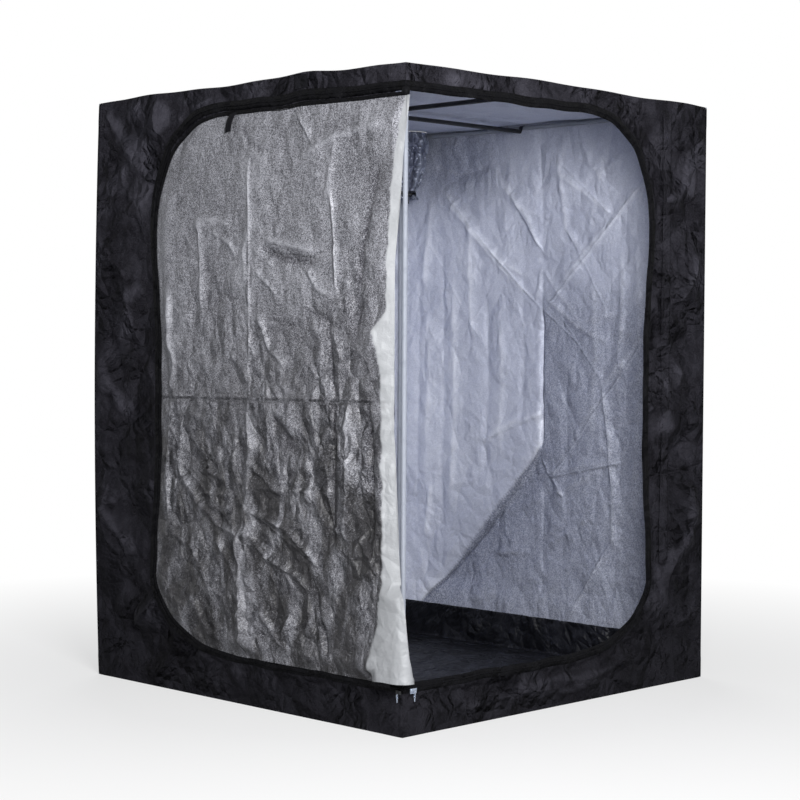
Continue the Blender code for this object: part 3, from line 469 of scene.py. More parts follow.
# %% The door's film
FLAP_LINES = [
    ((-0.40, 0.981), (0.69, 0.994), -2.4), ((-0.40, 0.992), (0.69, 1.005), 0.8),
    ((0.073, 1.78), (0.068, 0.60), 0.9), ((0.052, 0.64), (0.051, 0.10), 1.6),
    ((0.452, 1.64), (0.472, 1.33), 1.4), ((-0.186, 1.56), (-0.171, 1.27), 0.8),
    ((-0.33, 1.17), (-0.352, 0.73), 0.8), ((0.12, 1.46), (0.40, 1.43), -1.0),
    ((0.26, 1.46), (0.36, 1.36), -0.8), ((0.28, 1.89), (0.37, 1.78), 0.7),
    ((-0.30, 0.79), (0.03, 0.55), 0.8), ((0.07, 0.64), (0.40, 0.48), 0.9),
    ((0.40, 1.02), (0.50, 0.95), -1.0), ((0.62, 1.04), (0.635, 0.55), -1.0),
    ((0.46, 1.02), (0.458, 0.52), -1.2), ((0.07, 0.57), (0.36, 0.395), 0.8),
]
# Darker and greyer than the lining's copy of the same film.
flap_foil = foil("pressed_silver_film", "#35343b", "#abacb3", grain=0.0024, metal=0.1, rough=0.5,
                 film_foot_shading=0.62, contrast=1.1, lines=FLAP_LINES, stretch=0.65,
                 facets=((0.10, 0.7), (0.045, 0.5), (0.017, 0.26)))

# %% The lining's film and the sleeve's
REAR_LINES = [
    ((-0.015, 0.79), (-0.25, 0.478), -1.8), ((-0.22, 0.515), (-0.64, 0.11), -2.2),
    ((-0.019, 1.31), (-0.015, 0.76), -1.3),
    ((-0.50, 1.755), (-0.02, 1.30), 1.0), ((0.50, 1.78), (0.0, 1.30), 1.0),
    ((-0.02, 1.30), (0.17, 1.17), 0.8), ((0.15, 1.18), (0.33, 1.24), 0.6),
    ((0.21, 1.10), (0.50, 1.22), 0.6), ((-0.16, 1.74), (0.0, 1.5), 0.7),
    ((0.0, 0.66), (0.40, 0.74), 0.8), ((0.0, 0.62), (0.52, 1.23), 0.8),
    ((0.29, 1.02), (0.345, 0.62), 0.7), ((0.34, 0.45), (0.14, 0.14), 0.7),
    ((-0.28, 0.80), (0.0, 0.91), 0.5), ((0.08, 1.85), (0.33, 1.64), 0.7),
    ((-0.02, 0.74), (0.10, 0.585), 0.8), ((0.0, 0.62), (0.008, 0.2), 0.3),
    ((0.11, 1.6), (0.3, 1.3), 0.5), ((0.05, 1.3), (0.30, 1.02), 0.5),
    ((-0.40, 1.2), (-0.10, 1.62), 0.4), ((-0.62, 1.6), (-0.30, 1.15), 0.4),
]
LINING = {"grain": 0.003, "metal": 0.1, "rough": 0.5, "contrast": 0.5, "dent": 0.0004, "stretch": 0.75,
          "facets": ((0.19, 0.16), (0.07, 0.17), (0.027, 0.13))}
# Paler and bluer than the door's film: painted light for the bright, bluish light inside.
lining_foil = foil("silver_lining_painted_light", "#b4b9cc", "#dfe3f0", **LINING)
# The grey here is painted shade past the long bent crease.
rear_foil = foil("creased_lining_painted_light", "#b4b9cc", "#dfe3f0", lines=REAR_LINES, shade_grey_colour="#6d7284", **LINING)
# The sleeve is pale film, painted darker here: painted shade for the dim corner under the roof.
sleeve_film = foil("soft_sleeve_painted_shade", "#666b80", "#b4bacb", grain=0.005, metal=0.5, rough=0.3,
                   contrast=0.3, dent=0.0003, facets=((0.06, 0.6), (0.024, 0.7), (0.010, 0.4)))


# %% [markdown]
# ## Finishes for the frame and the fittings
#
# The tubes are steel with a baked powder coat, which shows a fine orange peel and
# scuffs a little darker. It is pale grey here, since the lamp that suits the
# lining would burn a white one out. The corner castings have a darker, coarser
# coat and the bars a black one. The side zip's slider and both pulls are nickel
# plated, and the front slider is coated black. The cord lock is moulded nylon,
# and the vent's net is dull black yarn.

# %% Powder coat, plate and moulded plastic
PEEL_DEPTH = 0.0002


def coat(name, base, scuffed, rough, metal=0.0, peel=420.0):
    """A thin even finish on Object coordinates: orange peel and scuffs."""
    made, tree, shader = new_finish(name)
    place = add(tree, "TexCoord").outputs["Object"]
    blot = add(tree, "TexNoise", {"Vector": place, "Scale": 24.0, "Detail": 5.0, "Roughness": 0.65})
    skin = add(tree, "TexNoise", {"Vector": place, "Scale": peel, "Detail": 1.0})
    share = add(tree, "MapRange", {"Value": blot.outputs[0], "From Min": 0.5, "From Max": 0.75})
    tint = add(tree, "Mix", {0: share.outputs[0], 6: linear(base), 7: linear(scuffed)}, data_type="RGBA")
    tree.links.new(tint.outputs[2], shader.inputs["Base Color"])
    dull = add(tree, "MapRange", {"Value": blot.outputs[0], "From Min": 0.35, "From Max": 0.7,
                                  "To Min": rough, "To Max": min(1.0, rough + 0.2)})
    tree.links.new(dull.outputs[0], shader.inputs["Roughness"])
    bumps = add(tree, "Bump", {"Height": skin.outputs[0], "Strength": 0.3, "Distance": PEEL_DEPTH})
    tree.links.new(bumps.outputs[0], shader.inputs["Normal"])
    shader.inputs["Metallic"].default_value = metal
    return made


STEEL = {
    "painted_steel": coat("pale_grey_powder_coat", "#8f949f", "#7d828d", 0.55),
    "corner_steel": coat("grey_coated_corner_casting", "#5f636b", "#4c5057", 0.5, peel=260.0),
    "black_steel": coat("black_powder_coat", "#141518", "#2b2d31", 0.4),
    "zip_metal": coat("nickel_plated_zinc", "#b9c3d4", "#9aa3b3", 0.22, metal=1.0),
    "black_plastic": coat("black_moulded_nylon", "#101012", "#1f1f22", 0.45, peel=700.0),
}
net_yarn = coat("black_net_yarn", "#0d0d0f", "#1c1c1f", 0.8, peel=900.0)

for row in frame["record"]["materials"]:
    if row["slot"] in STEEL:
        print(row["slot"], "->", STEEL[row["slot"]].name)

# %% Dress the rigid CAD nodes
RIGID = {"post": "painted_steel", "rail": "painted_steel", "corner": "corner_steel",
         "hanging_bar": "black_steel", "cord_lock": "black_plastic"}
for name, thing in frame["nodes"].items():
    for word, slot in RIGID.items():
        if word in name:
            thing.data.materials.clear()
            thing.data.materials.append(STEEL[slot])

# %% [markdown]
# ## How a sheet of cloth is made
#
# Every sheet starts as a flat grid. A function lays the grid's corners in the
# tent and says which bit of flat cloth each one is, which becomes the UV map in
# metres, so weave and grain have one true size everywhere. Solidify then gives
# the cloth its two faces: canvas outside, film inside.

# %% Sheet maker
def smooth(x):
    """An S-shaped step from 0 to 1."""
    x = np.clip(x, 0, 1)
    return x * x * (3 - 2 * x)


# The relief that counts as a full fold, and how close points are made one.
FOLD_FULL = 0.006
MERGE = 0.00002


def sheet_mesh(squares, place, outward=None, hole=None, merge=False):
    """Bends a grid into cloth. place(u, v) gives points, flat points and a fold value, which the finishes
    turn into painted light and shade on the folds.
    """
    bm = bmesh.new()
    bmesh.ops.create_grid(bm, x_segments=squares[0], y_segments=squares[1], size=0.5)
    grid = np.array([v.co[:2] for v in bm.verts]) + 0.5
    points, flat, relief = place(grid[:, 0], grid[:, 1])
    uv = bm.loops.layers.uv.new("cloth")
    fold = bm.verts.layers.float.new("fold")
    share = np.clip(relief / FOLD_FULL, -1, 1)
    for v, p, r in zip(bm.verts, points, share):
        v.co = p
        v[fold] = r
    for face in bm.faces:
        for loop in face.loops:
            loop[uv].uv = flat[loop.vert.index]
    if hole:
        gone = [f for f in bm.faces if hole(f.calc_center_median())]
        bmesh.ops.delete(bm, geom=gone, context="FACES")
    if merge:
        bmesh.ops.remove_doubles(bm, verts=bm.verts, dist=MERGE)
    if outward is not None:
        bm.normal_update()
        facing = sum((f.normal * f.calc_area() for f in bm.faces), Vector())
        if facing.dot(Vector(outward)) < 0:
            bmesh.ops.reverse_faces(bm, faces=bm.faces)
    return bm


# %% From mesh to piece
CLOTH = 0.0012
COVER = [black_canvas, lining_foil]


def piece(name, bm, finishes, body, nodes=()):
    """Turns a bmesh into a finished piece that rides on a body."""
    mesh = bpy.data.meshes.new(name)
    bm.normal_update()
    bm.to_mesh(mesh)
    bm.free()
    mesh.shade_smooth()
    for finish in finishes:
        mesh.materials.append(finish)
    made = bpy.data.objects.new(name, mesh)
    scene.collection.objects.link(made)
    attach(made, body)
    if nodes:
        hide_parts(*nodes)
    print(name, "has", len(mesh.polygons), "faces and rides on", body)
    return made


def thicken(thing, thick=CLOTH, offset=-1.0):
    """Gives a sheet its thickness. Its last finish goes on the inner side."""
    wall = thing.modifiers.new("thickness", "SOLIDIFY")
    wall.thickness = thick
    wall.offset = offset
    wall.material_offset = len(thing.data.materials) - 1
    return thing


def cloth(name, squares, place, outward, node, finishes=COVER, body="tent",
          thick=CLOTH, offset=-1.0, hole=None):
    """A whole piece of cloth: bent, finished and thickened."""
    bm = sheet_mesh(squares, place, outward, hole)
    return thicken(piece(name, bm, finishes, body, [node]), thick, offset)


# %% [markdown]
# ## Folds
#
# Cloth on a frame hangs nearly flat, and what the eye reads is its creases. Each
# crease is a line of points on the wall with a height and two widths, one for
# each side, so it can be steep on one side and gentle on the other. The main ones
# follow the real tent; short stray ones and a crushed-foil pattern fill the rest.

# %% Crease relief
# A crease has faded out this many of its widths away from its line.
REACHES = 4.5


def creases(across, z, folds, deep=1.0, broad=1.0):
    """Adds up creases. Each is (height mm, left width mm, right width mm, points)."""
    total = np.zeros_like(z)
    for height, left, right, line in folds:
        line = np.array(line, float)
        height, left, right = height * deep, left * broad, right * broad
        far = REACHES * max(left, right) / 1000
        low, high = line.min(0) - far, line.max(0) + far
        near = np.nonzero((across > low[0]) & (across < high[0]) & (z > low[1]) & (z < high[1]))[0]
        if not len(near):
            continue
        a, b = across[near], z[near]
        spans = np.hypot(*np.diff(line, axis=0).T)
        begins = np.concatenate(([0], np.cumsum(spans)))
        best, side, share = np.full(len(near), 9.0), np.zeros(len(near)), np.zeros(len(near))
        for p, q, span, begin in zip(line, line[1:], spans, begins):
            d = (q - p) / span
            t = np.clip((a - p[0]) * d[0] + (b - p[1]) * d[1], 0, span)
            da, db = a - p[0] - t * d[0], b - p[1] - t * d[1]
            gap = np.hypot(da, db)
            closer = gap < best
            best = np.where(closer, gap, best)
            side = np.where(closer, d[0] * db - d[1] * da, side)
            share = np.where(closer, (begin + t) / begins[-1], share)
        width = np.where(side > 0, left, right) / 1000
        ends = smooth(share / 0.15) * smooth((1 - share) / 0.15)
        total[near] += height / 1000 * ends * np.exp(-(best / width) ** 1.1)
    return total


def stray(seed, count, box, height, width, length):
    """Short creases at random places, sizes and slants."""
    rng = np.random.default_rng(seed)
    made = []
    for _ in range(count):
        x, z = rng.uniform(box[0], box[1]), rng.uniform(box[2], box[3])
        lean, span = rng.uniform(0, pi), rng.uniform(*length)
        tall = rng.uniform(*height) * rng.choice([-1, 1])
        bend = rng.uniform(-0.5, 0.5)
        mid = (x + cos(lean) * span / 2, z + sin(lean) * span / 2)
        end = (mid[0] + cos(lean + bend) * span / 2, mid[1] + sin(lean + bend) * span / 2)
        made.append((tall, rng.uniform(*width), rng.uniform(*width), [(x, z), mid, end]))
    return made


def crushed(across, z, size, height, seed):
    """Facets of crushed film: the gap between the two nearest Voronoi points."""
    found = np.empty(len(z))
    for i, (a, b) in enumerate(zip(across, z)):
        gaps = noise.voronoi((a / size, b / size, seed))[0]
        found[i] = gaps[1] - gaps[0]
    return (found - 0.35) * height


def swell(across, z, size, height, seed):
    """Slow soft waves."""
    return np.array([noise.noise((a / size, b / size, seed)) for a, b in zip(across, z)]) * height


# %% [markdown]
# ## The doorways
#
# The front and the right wall each have a D-shaped doorway that ends at the near
# corner, with an elliptical sweep at its far corners and a slight waist. The same
# outline cuts the wall, carries the zip and bounds the door, so it is written once
# as a walk round the edge.

# %% Doorway outline
HALF, TALL = 0.75, 2.0
REACH, BOTTOM, TOP = 1.2, 0.141, 1.939
LOW_ACROSS, LOW_UP, TOP_ACROSS, TOP_DOWN, WAIST = 0.45, 0.24, 0.32, 0.37, 0.03
STATIONS = [0, 0.2, 0.35, 0.65, 0.8, 1]


def edge_walk(share, reach=REACH, bottom=BOTTOM, top=TOP):
    """Points round a doorway's edge: distance from the near corner, and height."""
    s = np.asarray(share, float)
    sill, low_bend, side, high_bend, head = [(s - a) / (b - a) for a, b in zip(STATIONS, STATIONS[1:])]
    low, high = bottom + LOW_UP, top - TOP_DOWN
    q, r = np.clip(low_bend, 0, 1) * pi / 2, np.clip(high_bend, 0, 1) * pi / 2
    where = [s < station for station in STATIONS[1:-1]]
    along = np.select(where, [
        sill * (reach - LOW_ACROSS),
        reach - LOW_ACROSS * (1 - np.sin(q)),
        reach - WAIST * np.sin(pi * np.clip(side, 0, 1)),
        reach - TOP_ACROSS * (1 - np.cos(r)),
    ], (1 - head) * (reach - TOP_ACROSS))
    z = np.select(where, [
        bottom + 0 * s,
        bottom + LOW_UP * (1 - np.cos(q)),
        low + (high - low) * side,
        high + TOP_DOWN * np.sin(r),
    ], top + 0 * s)
    loose = smooth(np.minimum(s, 1 - s) / 0.1)
    along = along + (0.0026 * np.sin(s * 53) + 0.0016 * np.sin(s * 131 + 1)) * loose
    z = z + (0.0022 * np.sin(s * 61 + 2) + 0.0014 * np.sin(s * 149)) * loose
    return along, z


def top_rise(x, y):
    """How far the loose roof border stands above the rails, most by the front's patch."""
    held_by = smooth((HALF - np.minimum(np.abs(x), np.abs(y))) / 0.12)
    wave = 0.0026 * (1 + np.sin(9.1 * x - 6.7 * y + 0.4)) + 0.0014 * (1 + np.sin(23 * x + 17 * y))
    hump = 0.0055 * np.exp(-((x - 0.31) / 0.09) ** 2) * (y < 0)
    return (wave + hump) * held_by


def doorway_reach(z, reach=REACH, bottom=BOTTOM, top=TOP):
    """How far a doorway reaches from the near corner at each height."""
    low, high = bottom + LOW_UP, top - TOP_DOWN
    down = np.clip((low - z) / LOW_UP, 0, 1)
    above = np.clip((z - high) / TOP_DOWN, 0, 1)
    waist = WAIST * np.sin(pi * np.clip((z - low) / (high - low), 0, 1))
    return (reach - waist - LOW_ACROSS * (1 - np.sqrt(1 - down ** 2))
            - TOP_ACROSS * (1 - np.sqrt(1 - above ** 2)))


# From this height up, the wall's top rises with the roof's loose border.
ROOF_PULL_FROM, ROOF_PULL_OVER = 1.86, 0.14


def on_wall(wall, across, z, out):
    """Points on a wall: across is x or y along it, out is how far they stand outside it."""
    face = HALF + out + 0 * across
    level = {"front": (across, -face), "right": (face, across),
             "rear": (across, face), "left": (-face, across)}[wall]
    pulled = smooth((z - ROOF_PULL_FROM) / ROOF_PULL_OVER)
    return np.column_stack((*level, z + top_rise(*level) * pulled))


# %% [markdown]
# ## Front and right walls
#
# Each is a C of canvas round its doorway. The grid runs round the doorway as a
# ribbon, from its edge out to the wall's border, so the edge is smooth and the
# squares stay small. The cover is a little wider than the frame at the front left
# corner, so that edge stands out in a soft bow.

# %% Creases of the front and the right wall
FRONT_FOLDS = [
    (9, 45, 30, [(-0.72, 1.99), (-0.671, 1.93), (-0.597, 1.854), (-0.501, 1.745), (-0.394, 1.666)]),
    (-7, 30, 40, [(-0.74, 1.9), (-0.66, 1.78), (-0.56, 1.62), (-0.5, 1.48)]),
    (6, 25, 25, [(-0.337, 1.925), (-0.211, 1.875), (-0.1, 1.93)]),
    (6, 20, 20, [(-0.3, 1.975), (-0.212, 1.935), (-0.1, 1.985)]),
    (8, 30, 40, [(-0.376, 0.352), (-0.47, 0.25), (-0.568, 0.172)]),
    (-7, 25, 25, [(-0.58, 0.185), (-0.5, 0.168), (-0.413, 0.166)]),
    (-10, 35, 45, [(-0.745, 1.207), (-0.645, 1.147), (-0.596, 1.021)]),
    (8, 30, 30, [(-0.74, 1.12), (-0.66, 1.02), (-0.55, 0.9)]),
    (7, 30, 30, [(-0.74, 0.62), (-0.62, 0.5), (-0.52, 0.44)]),
    (-7, 30, 30, [(-0.72, 0.4), (-0.6, 0.33), (-0.5, 0.31)]),
    (7, 40, 40, [(-0.7, 1.55), (-0.6, 1.4), (-0.56, 1.2)]),
    (2.2, 5, 5, [(-0.745, 0.133), (-0.451, 0.138), (0.023, 0.134), (0.745, 0.128)]),
    (2.5, 6, 6, [(0.534, 1.995), (0.534, 1.945)]),
]
RIGHT_FOLDS = [
    (2.5, 7, 7, [(0.521, 1.985), (0.535, 1.922), (0.564, 1.627), (0.547, 1.218), (0.532, 0.987),
                 (0.543, 0.946), (0.514, 0.683), (0.552, 0.391), (0.55, 0.02)]),
    (-14, 50, 35, [(0.74, 0.9), (0.713, 0.852), (0.62, 0.8), (0.54, 0.746)]),
    (10, 40, 40, [(0.74, 0.6), (0.718, 0.59), (0.651, 0.481), (0.532, 0.385), (0.45, 0.36)]),
    (9, 30, 40, [(0.46, 0.35), (0.39, 0.302), (0.277, 0.226), (0.118, 0.158)]),
    (-7, 25, 25, [(0.44, 0.24), (0.3, 0.16), (0.1, 0.12), (-0.1, 0.115)]),
    (7, 25, 25, [(0.42, 0.13), (0.38, 0.112), (0.107, 0.074), (-0.082, 0.09), (-0.3, 0.06)]),
    (6, 20, 25, [(0.1, 0.03), (-0.2, 0.07), (-0.5, 0.05)]),
    (7, 30, 30, [(0.73, 1.5), (0.66, 1.36), (0.6, 1.3)]),
    (-7, 30, 30, [(0.72, 1.3), (0.66, 1.16), (0.58, 1.1)]),
    (8, 30, 30, [(0.73, 1.9), (0.66, 1.78), (0.6, 1.74)]),
    (6, 25, 25, [(0.73, 0.3), (0.66, 0.22), (0.57, 0.2)]),
]
FRONT_FOLDS += stray(11, 130, (-0.75, 0.75, 0, 2), (1.5, 4.5), (8, 26), (0.08, 0.34))
RIGHT_FOLDS += stray(12, 130, (-0.75, 0.75, 0, 2), (1.5, 4.5), (8, 26), (0.08, 0.34))

# %% How loose the cloth is
OUTER_DEPTH = 2.2


def corner_bow(z):
    """How far the loose cover stands out at the front left corner."""
    return 0.027 * np.sin(pi * np.clip(z / TALL, 0, 1)) ** 0.8


def held(across, z, margin=0.06):
    """Fades a fold out where the frame holds the cloth tight."""
    gap = np.minimum(HALF - np.abs(across), np.minimum(z, TALL - z))
    return smooth(gap / margin)


def clear_of_tubes(across, z, out, room=0.0025):
    """Keeps the cloth from sinking into the posts and rails just behind it."""
    side, level = HALF - np.abs(across), np.minimum(z, TALL - z)
    corner = smooth((0.09 - np.maximum(side, level)) / 0.02)
    sag = 0.015 + 0.035 * smooth((z - 0.5) / 0.2)
    low = (room + 0.0008) * corner - room - sag * smooth((np.minimum(side, level) - 0.05) / 0.08)
    return np.maximum(out, low)


def eased(out, most=0.049, start=0.033):
    """Holds bulges back: above start they rise ever less, up to most."""
    room = most - start
    return np.where(out > start, start + room * np.tanh((out - start) / room), out)


# %% Front and right wall
# The wall's border, as walked round with the doorway's edge: share of the walk,
# distance from the near corner, and height.
RIM_WALK = [0, 0.2, 0.275, 0.35, 0.65, 0.725, 0.8, 1]
RIM_ALONG = [0, HALF, 2 * HALF, 2 * HALF, 2 * HALF, 2 * HALF, 0.88, 0]
RIM_Z = [0, 0, 0, 0.381, 1.569, TALL, TALL, TALL]
# The corner's bow fades out over this width of the front wall.
BOW_OVER = 0.35


def doorway_wall(wall, folds):
    """The C-shaped wall round a doorway, as a place function for the sheet maker."""
    sign = -1 if wall == "front" else 1

    def place(u, v):
        along, z = edge_walk(v)
        rim_along, rim_z = np.interp(v, RIM_WALK, RIM_ALONG), np.interp(v, RIM_WALK, RIM_Z)
        from_edge = u * np.hypot(rim_along - along, rim_z - z)
        along, z = along + (rim_along - along) * u, z + (rim_z - z) * u
        across = sign * (along - HALF)
        relief = creases(across, z, folds, OUTER_DEPTH, 0.8) + swell(across, z, 0.35, 0.014, 3.3)
        relief += crushed(across, z, 0.14, 0.026, 7.1) + crushed(across, z, 0.05, 0.008, 1.7)
        fade = held(across, z) * smooth(0.12 + from_edge / 0.05)
        under = smooth((from_edge - 0.004) / 0.03)
        out = clear_of_tubes(across, z, relief * fade * under)
        flat = np.column_stack((across, z))
        if wall == "front":
            across = across - corner_bow(z) * smooth(1 - (across + HALF) / BOW_OVER)
        return on_wall(wall, across, z, out), flat, relief * fade

    return place


for node in ("front_wall", "right_wall", "door_side_half"):
    low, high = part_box(node)
    print(node, "lies from", [round(x, 4) for x in low], "to", [round(x, 4) for x in high])

front_cover = cloth("front_cover", (26, 420), doorway_wall("front", FRONT_FOLDS), (0, -1, 0), "front_wall")
right_cover = cloth("right_cover", (26, 420), doorway_wall("right", RIGHT_FOLDS), (1, 0, 0), "right_wall")

# %% [markdown]
# ## Rear and left walls
#
# The rear wall is what one sees through the open side: silver film with the
# sharp creases of a cloth that was packed folded. A long upright crease and a
# slanted one meet low down, and finer ones run across the upper half. Past that
# long bent crease the film is painted greyer, as painted shade, and the top left
# corner gets a painted shadow; both are stored on the mesh as "dull". The left
# wall has the intake vent's hole low in its middle.

# %% Creases of the rear wall
REAR_FOLDS = [
    (-12, 600, 600, [(-0.03, 1.9), (-0.02, 1.3), (-0.018, 0.963), (-0.012, 0.78), (-0.242, 0.485),
                     (-0.66, 0.09)]),
    (-3, 60, 14, [(-0.018, 1.985), (-0.013, 1.522), (-0.021, 1.276)]),
    (-7, 120, 12, [(-0.02, 1.33), (-0.021, 1.276), (-0.018, 0.963), (-0.013, 0.74)]),
    (-15, 130, 26, [(-0.012, 0.78), (-0.088, 0.639), (-0.242, 0.485), (-0.401, 0.345), (-0.62, 0.13)]),
    (6, 18, 26, [(-0.56, 1.8), (-0.482, 1.74), (-0.364, 1.607), (-0.204, 1.46), (-0.038, 1.317)]),
    (5, 16, 16, [(-0.05, 1.33), (-0.03, 1.38), (-0.012, 1.47)]),
    (6, 22, 16, [(0.47, 1.77), (0.374, 1.66), (0.203, 1.516), (0.03, 1.34)]),
    (6, 20, 20, [(-0.24, 1.82), (-0.207, 1.785), (-0.085, 1.655), (-0.018, 1.522)]),
    (5, 18, 14, [(0.07, 1.9), (0.08, 1.8), (0.108, 1.599), (0.203, 1.5)]),
    (5, 18, 14, [(0.06, 1.83), (0.085, 1.802), (0.211, 1.723), (0.33, 1.64)]),
    (5, 18, 14, [(-0.02, 1.36), (0.005, 1.341), (0.165, 1.235), (0.32, 1.175)]),
    (4, 14, 14, [(-0.03, 1.48), (-0.007, 1.448), (0.09, 1.34), (0.175, 1.251)]),
    (4, 14, 12, [(0.15, 1.247), (0.175, 1.251), (0.298, 1.274), (0.36, 1.29)]),
    (5, 20, 14, [(0.52, 1.24), (0.488, 1.211), (0.38, 1.108), (0.27, 1.0)]),
    (7, 30, 30, [(-0.63, 1.38), (-0.622, 1.417), (-0.588, 1.693), (-0.57, 1.75)]),
    (6, 26, 30, [(-0.38, 1.68), (-0.376, 1.633), (-0.367, 1.243), (-0.36, 1.18)]),
    (5, 16, 26, [(-0.53, 1.75), (-0.493, 1.723), (-0.216, 1.494), (-0.06, 1.41)]),
    (-9, 40, 40, [(-0.6, 1.885), (-0.566, 1.873), (-0.424, 1.831), (-0.25, 1.87)]),
    (5, 18, 14, [(0.375, 1.5), (0.379, 1.219), (0.341, 1.04)]),
    (-2.5, 18, 18, [(-0.01, 0.66), (-0.006, 0.608), (0.004, 0.237), (0.01, 0.18)]),
    (4, 12, 16, [(-0.1, 0.63), (-0.007, 0.679), (0.197, 0.716), (0.4, 0.742)]),
    (5, 18, 12, [(0.31, 1.0), (0.283, 0.978), (0.184, 0.863), (0.07, 0.72)]),
    (4, 14, 14, [(-0.02, 0.74), (0.063, 0.63), (0.095, 0.585)]),
    (5, 14, 20, [(0.04, 0.59), (0.063, 0.604), (0.253, 0.693), (0.29, 0.71)]),
    (6, 18, 14, [(0.28, 1.03), (0.293, 0.996), (0.328, 0.817), (0.346, 0.655), (0.35, 0.4)]),
    (5, 18, 14, [(0.34, 0.43), (0.322, 0.405), (0.235, 0.294), (0.14, 0.14)]),
    (6, 30, 18, [(-0.32, 0.78), (-0.282, 0.801), (-0.15, 0.869), (0.0, 0.905)]),
    (5, 22, 16, [(-0.25, 0.49), (-0.218, 0.505), (-0.076, 0.56), (-0.01, 0.585)]),
    (5, 18, 16, [(-0.3, 0.354), (-0.265, 0.356), (-0.121, 0.364), (-0.08, 0.37)]),
    (7, 26, 26, [(-0.61, 0.38), (-0.606, 0.413), (-0.581, 0.574), (-0.57, 0.62)]),
    (4, 14, 14, [(0.0, 0.38), (0.019, 0.398), (0.222, 0.518), (0.25, 0.53)]),
    (-6, 26, 26, [(-0.39, 0.24), (-0.363, 0.266), (-0.253, 0.376), (-0.22, 0.4)]),
]
REAR_FOLDS += [
    (height, 36, 30, [(x, top), (x + 0.012, (top + low) / 2), (x - 0.006, low)])
    for x, top, low, height in ((-0.66, 1.5, 0.5, -5), (-0.60, 1.35, 0.62, 5), (-0.53, 1.6, 0.35, -6),
                                (-0.46, 1.45, 0.5, 6), (-0.30, 1.4, 0.62, -6), (-0.22, 1.3, 0.7, 5),
                                (-0.12, 1.35, 0.8, -5), (0.10, 1.1, 0.3, -4), (0.24, 1.45, 0.8, 4),
                                (0.45, 1.6, 0.5, 4))
]
# Painted highlight beside the long bent crease, on one side of it.
REAR_PAINTED_RIM = [
    (16, 2, 20, [(-0.02, 1.0), (-0.013, 0.8), (-0.06, 0.7), (-0.242, 0.485), (-0.401, 0.345),
                 (-0.64, 0.11)]),
    (10, 2, 9, [(-0.02, 1.34), (-0.021, 1.276), (-0.018, 0.963), (-0.013, 0.8)]),
]
REAR_FOLDS += stray(21, 190, (-0.75, 0.75, 0.05, 2), (0.8, 2.6), (5, 16), (0.06, 0.26))
LEFT_FOLDS = stray(31, 110, (-0.75, 0.75, 0, 2), (2.5, 7), (10, 34), (0.12, 0.5))

# %% Rear wall
# Folds are lower behind the tray's upstand, and the long crease bends at BEND_Z.
TRAY_LINE = 0.16
REAR_DEPTH = 1.9
BEND_Z = 0.78
# The share of painted shade past the long bent crease.
GREY_SHADE_MOST = 0.55


def rear_place(u, v):
    across, z = np.interp(u, [0, 0.44, 0.56, 1], [HALF, 0.03, -0.07, -HALF]), v * TALL
    relief = creases(across, z, REAR_FOLDS, REAR_DEPTH, 0.7) + crushed(across, z, 0.15, 0.006, 2.2)
    relief += crushed(across, z, 0.06, 0.003, 5.2) + swell(across, z, 0.4, 0.010, 1.3)
    # Painted highlight and shade along the creases, kept as "fold".
    painted_crease_marks = creases(across, z, REAR_FOLDS[1:], 1.0, 0.3) + creases(across, z, REAR_PAINTED_RIM)
    low = 0.4 + 0.6 * smooth((z - TRAY_LINE) / 0.1)
    relief *= held(across, z, 0.05) * low
    out = eased(clear_of_tubes(across, z, -relief))
    fold_share_for_paint = 0.3 * relief + np.abs(painted_crease_marks) * np.where(painted_crease_marks < -0.01, -1, 1)
    return on_wall("rear", across, z, out), np.column_stack((across, z)), fold_share_for_paint


def grey_shade_share(x, z):
    """Painted shade: 1 where the film lies beyond the long bent crease, more beside it low down and less
    high up, with a painted shadow in the top left corner.
    """
    past = x + 0.016 if z > BEND_Z else 0.73 * (x + 0.012) - 0.683 * (z - BEND_Z)
    beside_crease_shade = 0.55 * np.exp(-max(past, 0) / 0.07) * smooth((0.85 - z) / 0.1)
    fading = 1 - 0.85 * smooth((z - 1.2) / 0.3)
    corner_shadow = 0.9 * smooth((z - 1.6) / 0.25) * smooth(-x / 0.4)
    return float(max(smooth(past / 0.008 + 0.5) * (1 + beside_crease_shade) * fading, corner_shadow))


bm = sheet_mesh((180, 240), rear_place, (0, 1, 0))
# The "dull" attribute holds painted shade and a painted shadow.
dull = bm.verts.layers.float.new("dull")
for v in bm.verts:
    v[dull] = GREY_SHADE_MOST * grey_shade_share(v.co.x, v.co.z)
rear_cover = piece("rear_cover", bm, [black_canvas, rear_foil], "tent", ["rear_wall"])
thicken(rear_cover)

# %% Left wall with its vent hole
VENT_LOW, VENT_HIGH, VENT_HALF = 0.25, 0.45, 0.15


def left_place(u, v):
    across = np.interp(u, [0, 0.4, 0.6, 1], [HALF, VENT_HALF, -VENT_HALF, -HALF])
    z = np.interp(v, [0, 0.125, 0.225, 1], [0, VENT_LOW, VENT_HIGH, TALL])
    relief = creases(across, z, LEFT_FOLDS) + swell(across, z, 0.4, 0.012, 4.4)
    gap = np.maximum(np.abs(across) - VENT_HALF, np.maximum(VENT_LOW - z, z - VENT_HIGH))
    relief *= held(across, z) * smooth(gap / 0.08)
    away = corner_bow(z) * smooth((HALF - across) / 1.5) * smooth(gap / 0.25)
    relief = eased(clear_of_tubes(across, z, relief))
    return on_wall("left", across, z, relief + away), np.column_stack((across, z)), relief


def in_vent(p):
    return abs(p.y) < VENT_HALF and VENT_LOW < p.z < VENT_HIGH


left_cover = cloth("left_cover", (100, 160), left_place, (-1, 0, 0), "left_wall", hole=in_vent)

# %% [markdown]
# ## Roof and base
#
# The roof has a round port for a duct near its rear left corner. The grid gets a
# square hole there, and bridge_loops joins its edge to a circle. The base lies
# under everything, with its film upwards.

